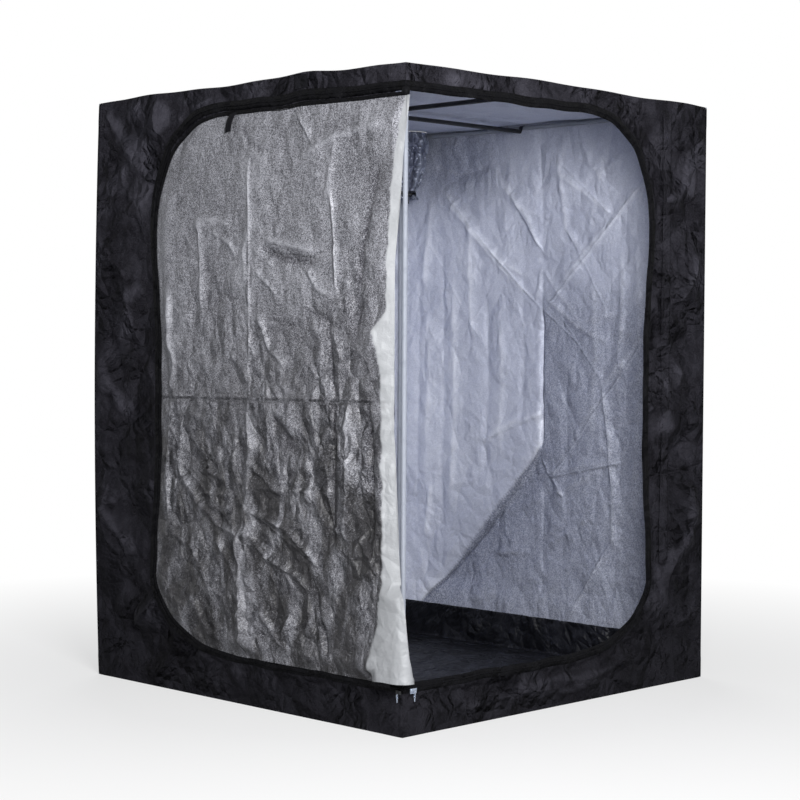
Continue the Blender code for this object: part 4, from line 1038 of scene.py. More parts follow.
# %% Roof with its duct port
PORT = Vector((-0.60, 0.635))
PORT_R = 0.075
PORT_HALF = 0.105
ROOF_SAG = 0.0008
ROOF_FOLDS = stray(41, 90, (-0.75, 0.75, -0.75, 0.75), (1.5, 5), (10, 30), (0.1, 0.5))
ROOF_FOLDS += [(-4, 14, 14, [(0.09, -0.05), (0.05, 0.14), (0.012, 0.33)])]


def roof_place(u, v):
    x = np.interp(u, [0, 0.03, 0.17, 1], [-HALF, PORT.x - PORT_HALF, PORT.x + PORT_HALF, HALF])
    y = np.interp(v, [0, 0.85, 0.99, 1], [-HALF, PORT.y - PORT_HALF, PORT.y + PORT_HALF, HALF])
    relief = creases(x, y, ROOF_FOLDS) + swell(x, y, 0.3, 0.006, 6.1)
    gap = HALF - np.maximum(np.abs(x), np.abs(y))
    port_gap = np.hypot(x - PORT.x, y - PORT.y) - PORT_R
    relief = -np.abs(relief) * smooth(gap / 0.08) * smooth(port_gap / 0.1) - ROOF_SAG
    border = top_rise(x, y) * smooth(1 - gap / 0.1)
    return np.column_stack((x, y, TALL + relief + border)), np.column_stack((x, y)), relief


def from_port(p):
    """How far a point is from the port's middle, along x or y, whichever is more."""
    return max(abs(p.x - PORT.x), abs(p.y - PORT.y))


bm = sheet_mesh((100, 100), roof_place, (0, 0, 1), hole=lambda p: from_port(p) < PORT_HALF)
around = [e for e in bm.edges
          if e.is_boundary and all(from_port(v.co) < PORT_HALF + 0.001 for v in e.verts)]
circle = bmesh.ops.create_circle(bm, segments=len(around), radius=PORT_R,
                                 matrix=Matrix.Translation((PORT.x, PORT.y, TALL - ROOF_SAG)))["verts"]
rim = [e for e in bm.edges if e.verts[0] in circle and e.verts[1] in circle]
bridge = bmesh.ops.bridge_loops(bm, edges=around + rim)
uv = bm.loops.layers.uv["cloth"]
for face in bridge["faces"]:
    if face.normal.z < 0:
        face.normal_flip()
    for loop in face.loops:
        loop[uv].uv = loop.vert.co.xy
print("port ring:", len(around), "edges,", len(bridge["faces"]), "faces")
roof_cover = thicken(piece("roof_cover", bm, COVER, "tent", ["roof_panel"]))


# %% Base sheet
def base_place(u, v):
    x, y = (u - 0.5) * 2 * HALF, (0.5 - v) * 2 * HALF
    relief = np.abs(swell(x, y, 0.2, 0.0006, 8.2))
    return np.column_stack((x, y, 0.0002 + relief)), np.column_stack((x, y)), relief


base_cover = cloth("base_cover", (60, 60), base_place, (0, 0, -1), "base_panel")

# %% [markdown]
# ## The door
#
# The door wraps the near corner. Its front half is zipped into the front doorway.
# Its side half is unzipped and folded back over it, silver side out. Where it
# turns round the corner it makes a soft lip that catches the lamp: narrow and
# bowed inwards at the top, and flaring wide at the foot, where it goes round the
# corner post. The lip is given by its edge, its width as the camera sees it, and
# how steeply it stands off the wall, at a few heights.

# %% Front half, zipped shut
# Its free edge is drawn back from the corner, and it lies just inside the wall,
# a little smaller than the doorway.
FRONT_EDGE_BACK = 0.047
FRONT_HALF_IN = 0.0014
ZIP_ROOM = 0.002


def shut_rows(v):
    """Shares of the walk for a door's rows, close together where its outline curves."""
    return np.interp(v, [0, 0.16, 0.84, 1], STATIONS[1:-1])


def front_half_place(u, v):
    reach, z = edge_walk(shut_rows(v), REACH - ZIP_ROOM, BOTTOM + ZIP_ROOM, TOP - ZIP_ROOM)
    along = FRONT_EDGE_BACK + (reach - FRONT_EDGE_BACK) * u
    rim = np.minimum(reach - along, np.minimum(z - BOTTOM, TOP - z))
    relief = swell(along, z, 0.25, 0.006, 9.3) * smooth(rim / 0.08)
    out = -FRONT_HALF_IN + relief * 0.5 - 0.004 * smooth(rim / 0.1)
    return on_wall("front", HALF - along, z, out), np.column_stack((along, z)), relief


door_front_cloth = cloth("door_front_cloth", (90, 150), front_half_place, (0, -1, 0), "door_front_half")

# %% Creases of the folded half
FLAP_FOLDS = [
    (4, 14, 26, [(0.072, 1.80), (0.072, 1.74), (0.078, 1.547), (0.052, 1.451), (0.074, 1.257),
                 (0.07, 0.993)]),
    (6, 50, 30, [(0.068, 1.02), (0.065, 0.977), (0.077, 0.828), (0.05, 0.527), (0.051, 0.45)]),
    (10, 70, 50, [(0.05, 0.60), (0.05, 0.527), (0.051, 0.3), (0.051, 0.10)]),
    (4, 12, 22, [(0.463, 1.83), (0.463, 1.783), (0.445, 1.665), (0.465, 1.533), (0.476, 1.3)]),
    (6, 16, 30, [(-0.335, 1.35), (-0.329, 1.172), (-0.3, 1.1), (-0.334, 0.983)]),
    (5, 14, 26, [(-0.32, 1.0), (-0.327, 0.849), (-0.352, 0.731), (-0.314, 0.48)]),
    (-7, 24, 34, [(0.12, 1.48), (0.228, 1.437), (0.383, 1.42)]),
    (6, 20, 14, [(0.14, 1.50), (0.26, 1.477), (0.40, 1.45)]),
    (6, 16, 26, [(-0.21, 1.55), (-0.188, 1.564), (-0.105, 1.571), (-0.02, 1.555)]),
    (5, 16, 22, [(-0.186, 1.58), (-0.182, 1.557), (-0.171, 1.457), (-0.17, 1.25)]),
    (5, 14, 20, [(-0.12, 1.535), (-0.099, 1.525), (-0.023, 1.491), (0.02, 1.445)]),
    (4, 10, 14, [(0.1, 1.405), (0.115, 1.394), (0.188, 1.338), (0.21, 1.32)]),
    (5, 14, 16, [(0.35, 1.41), (0.359, 1.39), (0.388, 1.342), (0.45, 1.315)]),
    (-5, 16, 26, [(0.32, 1.285), (0.34, 1.276), (0.438, 1.242), (0.468, 0.98)]),
    (-5, 40, 40, [(0.66, 1.75), (0.642, 1.693), (0.57, 1.372), (0.562, 1.12)]),
    (5, 12, 16, [(0.27, 1.89), (0.296, 1.874), (0.336, 1.838), (0.36, 1.8)]),
    (-5, 14, 14, [(0.026, 1.89), (0.029, 1.874), (0.061, 1.81), (0.15, 1.77)]),
    (5, 20, 24, [(0.3, 1.74), (0.327, 1.752), (0.463, 1.802), (0.68, 1.83)]),
    (5, 14, 20, [(0.1, 1.28), (0.116, 1.257), (0.168, 1.154), (0.25, 1.1)]),
    (2.2, 5, 5, [(-0.40, 0.98), (-0.29, 0.983), (0.087, 0.985), (0.67, 0.997)]),
    (3, 8, 8, [(0.06, 0.71), (0.077, 0.709), (0.233, 0.707), (0.40, 0.713)]),
    (-7, 16, 40, [(0.47, 1.02), (0.466, 0.97), (0.462, 0.75), (0.458, 0.52)]),
    (6, 34, 14, [(0.53, 1.02), (0.53, 0.95), (0.526, 0.7), (0.52, 0.54)]),
    (-8, 20, 40, [(0.615, 1.04), (0.618, 0.993), (0.629, 0.853), (0.636, 0.55)]),
    (6, 18, 22, [(-0.3, 0.77), (-0.277, 0.75), (-0.18, 0.648), (-0.072, 0.579), (0.03, 0.552)]),
    (5, 16, 16, [(0.06, 0.795), (0.077, 0.784), (0.2, 0.709), (0.24, 0.69)]),
    (6, 16, 18, [(0.06, 0.64), (0.078, 0.634), (0.256, 0.588), (0.353, 0.523), (0.4, 0.48)]),
    (6, 16, 18, [(0.07, 0.57), (0.089, 0.56), (0.168, 0.492), (0.289, 0.451), (0.36, 0.395)]),
    (5, 16, 18, [(-0.33, 0.545), (-0.301, 0.531), (-0.203, 0.492), (-0.143, 0.397), (-0.13, 0.36)]),
    (5, 16, 18, [(-0.1, 0.55), (-0.072, 0.518), (0.033, 0.406), (0.05, 0.38)]),
    (6, 16, 16, [(0.12, 0.34), (0.147, 0.297), (0.225, 0.224), (0.258, 0.287), (0.27, 0.33)]),
    (-5, 16, 16, [(0.37, 0.46), (0.375, 0.423), (0.397, 0.367), (0.45, 0.18)]),
    (5, 14, 14, [(0.59, 0.6), (0.601, 0.578), (0.652, 0.505), (0.67, 0.48)]),
    (5, 16, 16, [(-0.06, 0.84), (-0.085, 0.821), (-0.144, 0.757), (-0.073, 0.731), (-0.04, 0.73)]),
    (-8, 26, 36, [(0.18, 0.94), (0.199, 0.922), (0.254, 0.873), (0.33, 0.825)]),
    (5, 16, 18, [(-0.23, 0.34), (-0.215, 0.328), (-0.13, 0.214), (-0.11, 0.19)]),
]
FLAP_FOLDS += stray(51, 230, (-0.45, 0.66, 0.17, 1.9), (0.7, 2.4), (5, 15), (0.04, 0.2))

# %% Lip of the folded half
FLAP_REACH, FLAP_BOTTOM, FLAP_TOP = 1.17, 0.1545, 1.902
FLAP_DEPTH = 2.2
FLAP_OFF = 0.006
LIP_BACK = 0.0035
# The tangent of the camera's azimuth: standing off widens the lip in the picture.
VIEW_SLOPE = 0.987
# Each row: height, the edge's x, the lip's width as seen, and its steepness.
LIP = [
    (0.15, 0.805, 0.196, 0.33), (0.17, 0.804, 0.204, 0.33), (0.21, 0.801, 0.206, 0.35),
    (0.25, 0.797, 0.186, 0.37), (0.30, 0.7936, 0.160, 0.40), (0.39, 0.7866, 0.145, 0.46),
    (0.42, 0.783, 0.139, 0.50), (0.455, 0.745, 0.082, 0.57), (0.52, 0.738, 0.075, 0.62),
    (0.70, 0.727, 0.070, 0.68), (0.95, 0.712, 0.058, 0.70), (1.10, 0.712, 0.066, 0.70),
    (1.16, 0.712, 0.085, 0.72), (1.21, 0.712, 0.100, 0.70), (1.27, 0.712, 0.040, 0.75),
    (1.42, 0.713, 0.036, 0.75), (1.64, 0.737, 0.050, 0.70), (1.72, 0.743, 0.038, 0.55),
    (1.90, 0.771, 0.029, 0.50),
]
LIP_Z, LIP_EDGE, LIP_WIDE, LIP_STEEP = zip(*LIP)


def lip(z):
    """Edge and crest of the folded half's lip at each height: x, x and how far the crest stands out."""
    edge = np.interp(z, LIP_Z, LIP_EDGE)
    steep = np.interp(z, LIP_Z, LIP_STEEP)
    wide = np.interp(z, LIP_Z, LIP_WIDE) / (1 + VIEW_SLOPE * steep)
    wobble = 0.002 * np.sin(z * 61) + 0.0015 * np.sin(z * 137 + 1)
    return edge, edge - wide + wobble, LIP_BACK + wide * steep


# %% Shape of the folded half
# Low down the lip goes round the post, at this radius from the hinge line.
ROUND_Z, ROUND_POST = [0.15, 0.23, 0.30, 0.39, 0.42, 0.455], [0.049, 0.045, 0.042, 0.040, 0.038, 0.0]
HINGE_AT = 0.756
HEM_RISE = 0.013
LIP_SHARE = 0.10
BODY_PROUD, BACK_FALL = 0.012, 0.09
FOOT_BAND, HEAD_BAND, HEAD_GAP = 0.045, 0.03, 0.004
LOOSE_FROM = 0.60
# Room to the post above the bow: at the hinge line, per metre from it, and the
# extra per metre past CLEAR_TURN.
CLEAR_HINGE, CLEAR_SLOPE, CLEAR_MORE, CLEAR_TURN = 0.0052, 0.40, 1.2, 0.036


def flap_relief(x, z, crest):
    """The folded half's creases and crumple, calmer on its lip."""
    rough = 0.35 + 0.75 * smooth((1.35 - z) / 0.5)
    relief = creases(x, z, FLAP_FOLDS, FLAP_DEPTH, 0.5) * (1 + 0.5 * smooth((1.0 - z) / 0.3))
    relief = relief + crushed(x, z, 0.08, 0.012, 3.7) * rough
    relief = relief + crushed(x, z, 0.035, 0.005, 6.3) * rough + swell(x, z, 0.22, 0.012, 2.9)
    return relief, 1 - 0.75 * smooth((x - crest) / 0.03)


def flap_out(x, z):
    """How far the folded half stands off the wall, and its relief."""
    edge, crest, high = lip(z)
    border = HALF - doorway_reach(z, FLAP_REACH, FLAP_BOTTOM, FLAP_TOP)
    rim = np.minimum(x - border, np.minimum(z - FLAP_BOTTOM, FLAP_TOP - z))
    inside = smooth(rim / 0.07)
    relief, calm = flap_relief(x, z, crest)
    relief = relief * inside * calm
    body = FLAP_OFF + BODY_PROUD * inside
    # Up the lip from its edge to the crest, then down its back to the body.
    ramp = LIP_BACK + (high - LIP_BACK) * np.clip((edge - x) / (edge - crest), 0, 1)
    beyond = np.clip(crest - x, 0, None)
    slope_back = body + np.clip(high - body, 0, None) * np.exp(-(beyond / BACK_FALL) ** 1.1)
    out = np.where(x > crest, ramp, slope_back)
    # Round the post, and straight from there to the crest.
    radius = np.interp(z, ROUND_Z, ROUND_POST)
    rounded = radius > 0.001
    bow = FLAP_OFF + np.sqrt(np.clip(radius ** 2 - np.clip(x - HINGE_AT, 0, None) ** 2, 0, None))
    bow = bow + (high - bow) * np.clip((HINGE_AT - x) / (HINGE_AT - crest), 0, 1)
    out = np.where(rounded & (x > crest), np.maximum(out, bow), out)
    # Flat along the hems, apart from the lip's loose foot.
    loose = smooth((x - LOOSE_FROM) / 0.10) * (z < 1)
    foot = np.maximum(smooth((z - FLAP_BOTTOM) / FOOT_BAND), loose)
    foot = foot * smooth((FLAP_TOP - z - HEAD_GAP) / HEAD_BAND)
    out = FLAP_OFF + (out - FLAP_OFF) * foot
    # Above the bow it keeps clear of the post that it swings past.
    gap = HINGE_AT - x
    clear = CLEAR_HINGE + CLEAR_SLOPE * np.abs(gap) + CLEAR_MORE * np.clip(gap - CLEAR_TURN, 0, None)
    out = np.where(rounded | (gap > 0.08), out + relief, np.minimum(out + relief, clear))
    return np.maximum(out, LIP_BACK), relief


def hem_rise(x, z):
    """How far the loose foot of the lip hangs above the sill."""
    return HEM_RISE * smooth((x - LOOSE_FROM) / 0.12) * smooth((0.30 - z) / 0.14)


# %% Folded half
def flap_place(u, v):
    reach, z = edge_walk(shut_rows(v), FLAP_REACH, FLAP_BOTTOM, FLAP_TOP)
    edge, crest, _ = lip(z)
    end = HALF - reach
    x = np.where(u < LIP_SHARE, edge + (crest - edge) * np.clip(u / LIP_SHARE, 0, 1) ** 1.5,
                 crest + (end - crest) * (u - LIP_SHARE) / (1 - LIP_SHARE))
    out, relief = flap_out(x, z)
    # Painted highlight and shade along the creases, kept as "fold".
    painted_crease_marks = 0.35 * relief + creases(x, z, FLAP_FOLDS, 0.8, 0.25)
    return on_wall("front", x, z + hem_rise(x, z), out), np.column_stack((x, z)), painted_crease_marks


bm = sheet_mesh((176, 250), flap_place, (0, -1, 0))
# Where the lip's painted highlight goes.
lit = bm.verts.layers.float.new("lip")
for v in bm.verts:
    edge, crest, _ = lip(v.co.z)
    v[lit] = float(smooth((v.co.x - crest + 0.004) / 0.008))
door_side_cloth = piece("door_side_cloth", bm, [flap_foil, black_canvas], "door_flap",
                        ["door_side_half"])
thicken(door_side_cloth)
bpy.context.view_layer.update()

# %% [markdown]
# ## Zips
#
# A zip is a woven tape with a row of nylon coil down its middle. One strip is
# swept along each doorway edge from a flat section with a half-round hump, and
# the coil's turns are drawn by the finish: they are 1.5 mm apart in a coarse
# tent zip, and drawn at 3 mm.

# %% Zip finish and section
zip_coil = canvas("black_zip_tape_and_coil", "#0a0a0c", "#1a1a1d", 0.55, thread=0.003)
TAPE_HALF, TAPE_UP, COIL_HALF, COIL_UP = 0.009, 0.0014, 0.003, 0.0044


def zip_section(low, high, foot, coil=COIL_UP):
    """Closed outline of a tape with a coil: offset across it and height over the wall."""
    mid = (low + high) / 2
    hump = [(mid + COIL_HALF * cos(a), foot + coil * max(0.3, sin(a))) for a in np.linspace(0, pi, 7)]
    top = foot + TAPE_UP
    return [(low, foot), (high, foot), (high, top), (mid + COIL_HALF * 1.1, top), *hump,
            (mid - COIL_HALF * 1.1, top), (low, top), (low, foot)]


# The step that finds an edge's direction, and about how long the edge is.
STEP = 0.0008
EDGE_LONG = 4.4


def swept(outline, section, wall, lift=None):
    """Sweeps a closed section round a doorway's edge."""
    section = np.array(section)

    def place(u, v):
        along, z = edge_walk(v, *outline)
        ahead = edge_walk(np.minimum(v + STEP, 1), *outline)
        behind = edge_walk(np.maximum(v - STEP, 0), *outline)
        da, dz = ahead[0] - behind[0], ahead[1] - behind[1]
        size = np.hypot(da, dz)
        k = np.rint(u * (len(section) - 1)).astype(int)
        off, high = section[k, 0], section[k, 1]
        along, z = along + dz / size * off, z - da / size * off
        across = (HALF - along) if wall == "front" else (along - HALF)
        flat = np.column_stack((off, v * EDGE_LONG))
        return on_wall(wall, across, z, high + (lift(across, z) if lift else 0)), flat, 0 * z

    bm = sheet_mesh((len(section) - 1, 560), place, merge=True)
    ends = [e for e in bm.edges if e.is_boundary]
    bmesh.ops.holes_fill(bm, edges=ends, sides=0)
    bmesh.ops.recalc_face_normals(bm, faces=bm.faces)
    return bm


# %% The doorways' zips
flat_tape = zip_section(-0.021, TAPE_HALF, 0.0003)
bm = swept((REACH, BOTTOM, TOP), flat_tape, "front")
front_zip = piece("front_zip", bm, [zip_coil], "tent", ["front_zip_tape"])
bm = swept((REACH, BOTTOM, TOP), flat_tape, "right")
side_zip = piece("side_zip", bm, [zip_coil], "tent", ["side_zip_tape"])


# %% The folded half's zip
def flap_lift(x, z):
    """The hem goes with the folded half's border."""
    near = np.clip(z, FLAP_BOTTOM + 0.0005, FLAP_TOP - 0.0005)
    return flap_out(x, near)[0] - FLAP_OFF


hem = zip_section(0.0004, 0.0125, 0.0050, 0.0020)
bm = swept((FLAP_REACH, FLAP_BOTTOM, FLAP_TOP), hem, "front", flap_lift)
for v in bm.verts:
    v.co.z += hem_rise(v.co.x, v.co.z)
flap_zip = piece("flap_zip", bm, [zip_coil], "door_flap", ["flap_zip_tape"])


# %% Knuckle where the folded half's binding ends, on the hinge line
def turned(outline, centre, steps, closed=False):
    """Spins an outline of (radius, height) points round an upright axis."""
    bm = bmesh.new()
    spots = [bm.verts.new((r, 0, z)) for r, z in outline]
    last = spots[:1] if closed else []
    edges = [bm.edges.new(pair) for pair in zip(spots, spots[1:] + last)]
    bmesh.ops.spin(bm, geom=spots + edges, cent=(0, 0, 0), axis=(0, 0, 1), angle=2 * pi, steps=steps,
                   use_merge=True, use_duplicate=False)
    bmesh.ops.remove_doubles(bm, verts=bm.verts, dist=MERGE)
    bmesh.ops.recalc_face_normals(bm, faces=bm.faces)
    bmesh.ops.translate(bm, vec=centre, verts=bm.verts)
    return bm


KNUCKLE = [(0, 1.9023), (0.006, 1.9023), (0.0105, 1.906), (0.012, 1.914), (0.011, 1.923),
           (0.006, 1.9285), (0, 1.9292)]
bm = turned(KNUCKLE, (HINGE_AT, -HINGE_AT, 0), 24)
piece("flap_zip_knuckle", bm, [zip_coil], "door_flap")


# %% [markdown]
# ## Sliders and pulls
#
# A slider is a small zinc casting: a plate over the coil with a raised body, a rib
# along each long side, and a loop that holds the pull. The pull is a short chain
# of three rings and a tongue. Each is made at the origin, then turned onto its
# wall.

# %% Slider and pull
def rounded_box(bm, size, centre, soft, segments=2):
    """A block with bevelled edges."""
    made = bmesh.ops.create_cube(bm, size=1.0)
    bmesh.ops.scale(bm, vec=size, verts=made["verts"])
    bmesh.ops.translate(bm, vec=centre, verts=made["verts"])
    edges = list({e for v in made["verts"] for e in v.link_edges})
    bmesh.ops.bevel(bm, geom=edges, offset=soft, affect="EDGES", segments=segments, profile=0.5, material=-1)


def ring(bm, radius, wire, centre, axis="X", steps=20, sides=8, squeeze=1.0):
    """A closed ring of wire: a small circle spun round an axis."""
    facing = {"X": Matrix.Rotation(pi / 2, 4, "Y"), "Y": Matrix.Rotation(pi / 2, 4, "X"),
              "Z": Matrix.Identity(4)}[axis]
    before = set(bm.verts)
    upright = Matrix.Translation((radius, 0, 0)) @ Matrix.Rotation(pi / 2, 4, "X")
    start = bmesh.ops.create_circle(bm, segments=sides, radius=wire, matrix=upright)
    edges = list({e for v in start["verts"] for e in v.link_edges})
    bmesh.ops.spin(bm, geom=start["verts"] + edges, cent=(0, 0, 0), axis=(0, 0, 1), angle=2 * pi,
                   steps=steps, use_merge=True, use_duplicate=False)
    made = [v for v in bm.verts if v not in before]
    bmesh.ops.scale(bm, vec=(1, squeeze, 1), verts=made)
    bmesh.ops.transform(bm, matrix=Matrix.Translation(centre) @ facing, verts=made)


def slider_shape(grow=0.0):
    """Local frame: x along the zip, y out of the wall towards -y, z up."""
    bm = bmesh.new()
    rounded_box(bm, (0.022 + 2 * grow, 0.0016, 0.013 + grow), (0, -0.0008, grow / 2), 0.0007)
    rounded_box(bm, (0.018 + 2 * grow, 0.0026, 0.010 + grow), (0, -0.0026, grow / 2), 0.0012)
    rounded_box(bm, (0.020 + 2 * grow, 0.0030, 0.0022), (0, -0.0022, 0.0052 + grow), 0.0008)
    rounded_box(bm, (0.020, 0.0030, 0.0022), (0, -0.0022, -0.0052), 0.0008)
    ring(bm, 0.0032, 0.0009, (0.0, -0.0040, -0.0018), "X", steps=18)
    return bm


def pull_shape():
    """Hangs from the origin, its pin: three rings in a chain and a short tongue."""
    bm = bmesh.new()
    ring(bm, 0.0030, 0.0008, (0, 0, -0.0024), "Y", steps=18)
    ring(bm, 0.0026, 0.0007, (0, 0, -0.0070), "X", steps=16, squeeze=1.3)
    ring(bm, 0.0030, 0.0009, (0, 0, -0.0122), "Y", steps=18, squeeze=1.25)
    rounded_box(bm, (0.0044, 0.0014, 0.0105), (0, 0, -0.0205), 0.0006)
    return bm


# %% Both sliders and both pulls
# The side slider is this much longer at each end than the plain shape, and higher.
SIDE_GROWS = 0.003
FRONT_ROOT, FRONT_PIN = (0.736, -0.7524, 0.1345), (0.736, -0.7588, 0.1301)
SIDE_ROOT, SIDE_PIN = (0.7524, -0.707, 0.1345), (0.7588, -0.707, 0.1301)
SLIDERS = [
    ("front", "slider", slider_shape(), FRONT_ROOT, 0, "black_steel"),
    ("front", "pull", pull_shape(), FRONT_PIN, 0, "zip_metal"),
    ("side", "slider", slider_shape(SIDE_GROWS), SIDE_ROOT, pi / 2, "zip_metal"),
    ("side", "pull", pull_shape(), SIDE_PIN, pi / 2, "zip_metal"),
]
for side, part, bm, spot, spin_by, plate in SLIDERS:
    bmesh.ops.recalc_face_normals(bm, faces=bm.faces)
    placed = Matrix.Translation(spot) @ Matrix.Rotation(spin_by, 4, "Z")
    bmesh.ops.transform(bm, matrix=placed, verts=bm.verts)
    piece(f"{side}_{part}_metal", bm, [STEEL[plate]], f"{side}_{part}", [f"{side}_zip_{part}"])

# %% [markdown]
# ## Floor tray
#
# A loose tray of coated cloth lies inside to catch water. It is one square sheet
# pinched up at its border. The grid is folded by distance from its middle: the
# inner squares lie flat and the outer ones stand up, so the corners stay closed.

# %% Tray
TRAY_HALF, TRAY_LOW, TRAY_HIGH = 0.7267, 0.0036, 0.1343
TRAY_FLAT = TRAY_HALF + TRAY_HIGH - TRAY_LOW
TRAY_FOLDS = [
    (8, 14, 22, [(0.74, -0.2), (0.3, 0.02), (-0.2, 0.3)]),
    (6, 12, 12, [(0.0, -0.74), (0.05, 0.0), (0.02, 0.74)]),
    (6, 12, 12, [(-0.74, 0.1), (0.0, 0.05), (0.74, 0.12)]),
]
TRAY_FOLDS += stray(61, 90, (-0.72, 0.72, -0.72, 0.72), (1.5, 5), (8, 26), (0.1, 0.5))
RISE_FOLDS = stray(62, 70, (-0.72, 0.72, 0, 0.14), (2, 6), (10, 30), (0.06, 0.2))


def tray_place(u, v):
    a, b = (u - 0.5) * 2 * TRAY_FLAT, (v - 0.5) * 2 * TRAY_FLAT
    far = np.maximum(np.abs(a), np.abs(b))
    bent = np.clip(far - TRAY_HALF, 0, None)
    shrink = np.where(bent > 0, TRAY_HALF / np.maximum(far, 1e-9), 1.0)
    x, y = a * shrink, b * shrink
    lying = np.abs(creases(x, y, TRAY_FOLDS)) * smooth((TRAY_HALF - far) / 0.05)
    along = np.where(np.abs(a) > np.abs(b), y, x)
    wave = creases(along, bent, RISE_FOLDS) + swell(along, bent, 0.16, 0.010, 4.9)
    inward = np.abs(wave) * smooth(bent / 0.05) * smooth((TRAY_HALF - np.abs(along)) / 0.06)
    x = x - np.where(np.abs(a) > np.abs(b), np.sign(a) * inward, 0)
    y = y - np.where(np.abs(a) > np.abs(b), 0, np.sign(b) * inward)
    return np.column_stack((x, y, TRAY_LOW + bent + lying)), np.column_stack((a, b)), lying + wave


tray_cloth = cloth("tray_cloth", (170, 170), tray_place, (0, 0, 1), "floor_tray", [tray_pvc], "tray")

# %% [markdown]
# ## Duct sleeve
#
# The port in the roof ends in a soft sleeve that a drawstring gathers round a
# duct. Unused, it hangs limp and pinched. It is a tube whose radius and pleats
# change on the way down: full at the port, tight at the string, flared below.

# %% Sleeve
SLEEVE_HEAD, SLEEVE_LONG, SLEEVE_R, FILM_WIDE = 1.9972, 0.262, 0.0745, 0.47
SLEEVE_THICK = 0.0008
# How far down the sleeve, how wide it is there and how deep its pleats are, as shares.
DOWN = [0, 0.18, 0.42, 0.64, 0.80, 0.865, 0.905, 0.95, 1]
WIDE = [1, 1.02, 0.93, 0.74, 0.48, 0.38, 0.38, 0.42, 0.46]
PLEAT = [0, 0.03, 0.08, 0.12, 0.13, 0.05, 0.05, 0.09, 0.12]


def sleeve_place(u, v):
    turn = 2 * pi * u
    wide, pleat = np.interp(v, DOWN, WIDE), np.interp(v, DOWN, PLEAT)
    wave = np.cos(7 * turn + 0.5 * np.sin(2 * turn)) + 0.45 * np.cos(17 * turn + 3 * v)
    crush = np.array([noise.noise((cos(t) * 2, sin(t) * 2, d * 5)) for t, d in zip(turn, v)])
    loose = smooth(v / 0.2)
    radius = SLEEVE_R * (wide + pleat * wave + 0.16 * crush * loose * np.minimum(1, wide))
    x, y = PORT.x + radius * np.cos(turn), PORT.y + radius * np.sin(turn)
    relief = SLEEVE_R * (pleat * wave + 0.12 * crush * loose)
    flat = np.column_stack((u * FILM_WIDE, v * SLEEVE_LONG))
    return np.column_stack((x, y, SLEEVE_HEAD - v * SLEEVE_LONG)), flat, relief


bm = sheet_mesh((140, 70), sleeve_place, merge=True)
bm.normal_update()
if sum((f.calc_center_median().xy - PORT).dot(f.normal.xy) for f in bm.faces) < 0:
    bmesh.ops.reverse_faces(bm, faces=bm.faces)
sleeve_cloth = piece("sleeve_cloth", bm, [sleeve_film], "tent", ["duct_sleeve"])
thicken(sleeve_cloth, SLEEVE_THICK)

# %% [markdown]
# ## Drawstring
#
# A thin braided cord runs round the sleeve's neck in a sewn casing, and its two
# tails come out towards the near corner, pass through the cord lock and hang
# below it, each ending in a knot. A tail is one open curve with a round bevel.

# %% Drawstring and its casing
NECK_Z, STRING_R, STRING = 1.7658, 0.0314, 0.003
OUT = Vector((0.7071, -0.7071, 0))
SIDE = Vector((0.7071, 0.7071, 0))
cord_yarn = canvas("black_braided_cord", "#0c0c0e", "#222226", 0.7, thread=0.0012, sheen=0.1)
bm = bmesh.new()
ring(bm, STRING_R, STRING / 2, (0, 0, 0), "Z", steps=48, sides=10)
bmesh.ops.translate(bm, vec=(PORT.x, PORT.y, NECK_Z), verts=bm.verts)
bmesh.ops.recalc_face_normals(bm, faces=bm.faces)
piece("drawstring_ring", bm, [cord_yarn], "tent", ["sleeve_drawstring"])

CASING = [(0.0302, -0.009), (0.0325, -0.0085), (0.0336, 0.0), (0.0325, 0.0085), (0.0302, 0.009)]
CASING_BELOW = 0.0115
bm = turned(CASING, (PORT.x, PORT.y, NECK_Z - CASING_BELOW), 56, closed=True)
piece("drawstring_casing", bm, [strap_weave], "tent")

# %% The two tails
TAIL_OUT, TAIL_LONG, TAIL_BEND = 0.0449, 0.045, 0.0095
FIRST_STRAIGHT = 0.004


def tail_route(hand):
    """Out of the casing, round a quarter bend and straight down."""
    centre = Vector((PORT.x, PORT.y, 0)) + SIDE * STRING * hand
    start = centre + OUT * STRING_R + Vector((0, 0, NECK_Z))
    over = centre + OUT * TAIL_OUT
    points = [start, start + OUT * FIRST_STRAIGHT]
    for k in range(1, 7):
        a = pi / 2 * k / 6
        drop = Vector((0, 0, NECK_Z - TAIL_BEND * (1 - cos(a))))
        points.append(over - OUT * TAIL_BEND * (1 - sin(a)) + drop)
    low = points[-1]
    for k in range(1, 10):
        points.append(low + Vector((0, 0, -(TAIL_LONG - TAIL_BEND) * k / 9)))
    return points


for name, hand in (("drawstring_tail_left", -1), ("drawstring_tail_right", 1)):
    points = tail_route(hand)
    line = bpy.data.curves.new(name, "CURVE")
    line.dimensions = "3D"
    line.bevel_depth = STRING / 2
    line.bevel_resolution = 3
    line.use_fill_caps = True
    spline = line.splines.new("POLY")
    spline.points.add(len(points) - 1)
    for spot, p in zip(spline.points, points):
        spot.co = (*p, 1)
    line.materials.append(STEEL["black_plastic"])
    tail = bpy.data.objects.new(name, line)
    scene.collection.objects.link(tail)
    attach(tail, "tent")
    bm = bmesh.new()
    rounded_box(bm, (0.0052, 0.0052, 0.0056), points[-1] + Vector((0, 0, -0.002)), 0.0016, 3)
    knot = piece(name + "_knot", bm, [cord_yarn], "tent")


# %% [markdown]
# ## Sewn details
#
# A storm flap hangs beside the side doorway's far edge, a short webbing tie hangs
# over the folded half, and a blank patch is sewn on the front's top band. The
# intake vent has a black net inside and a cloth cover outside.

# %% Storm flap
STORM_LOW, STORM_LONG, STORM_AT, STORM_WIDE = 0.394, 1.571, 0.5, 0.045
THIN = 0.001


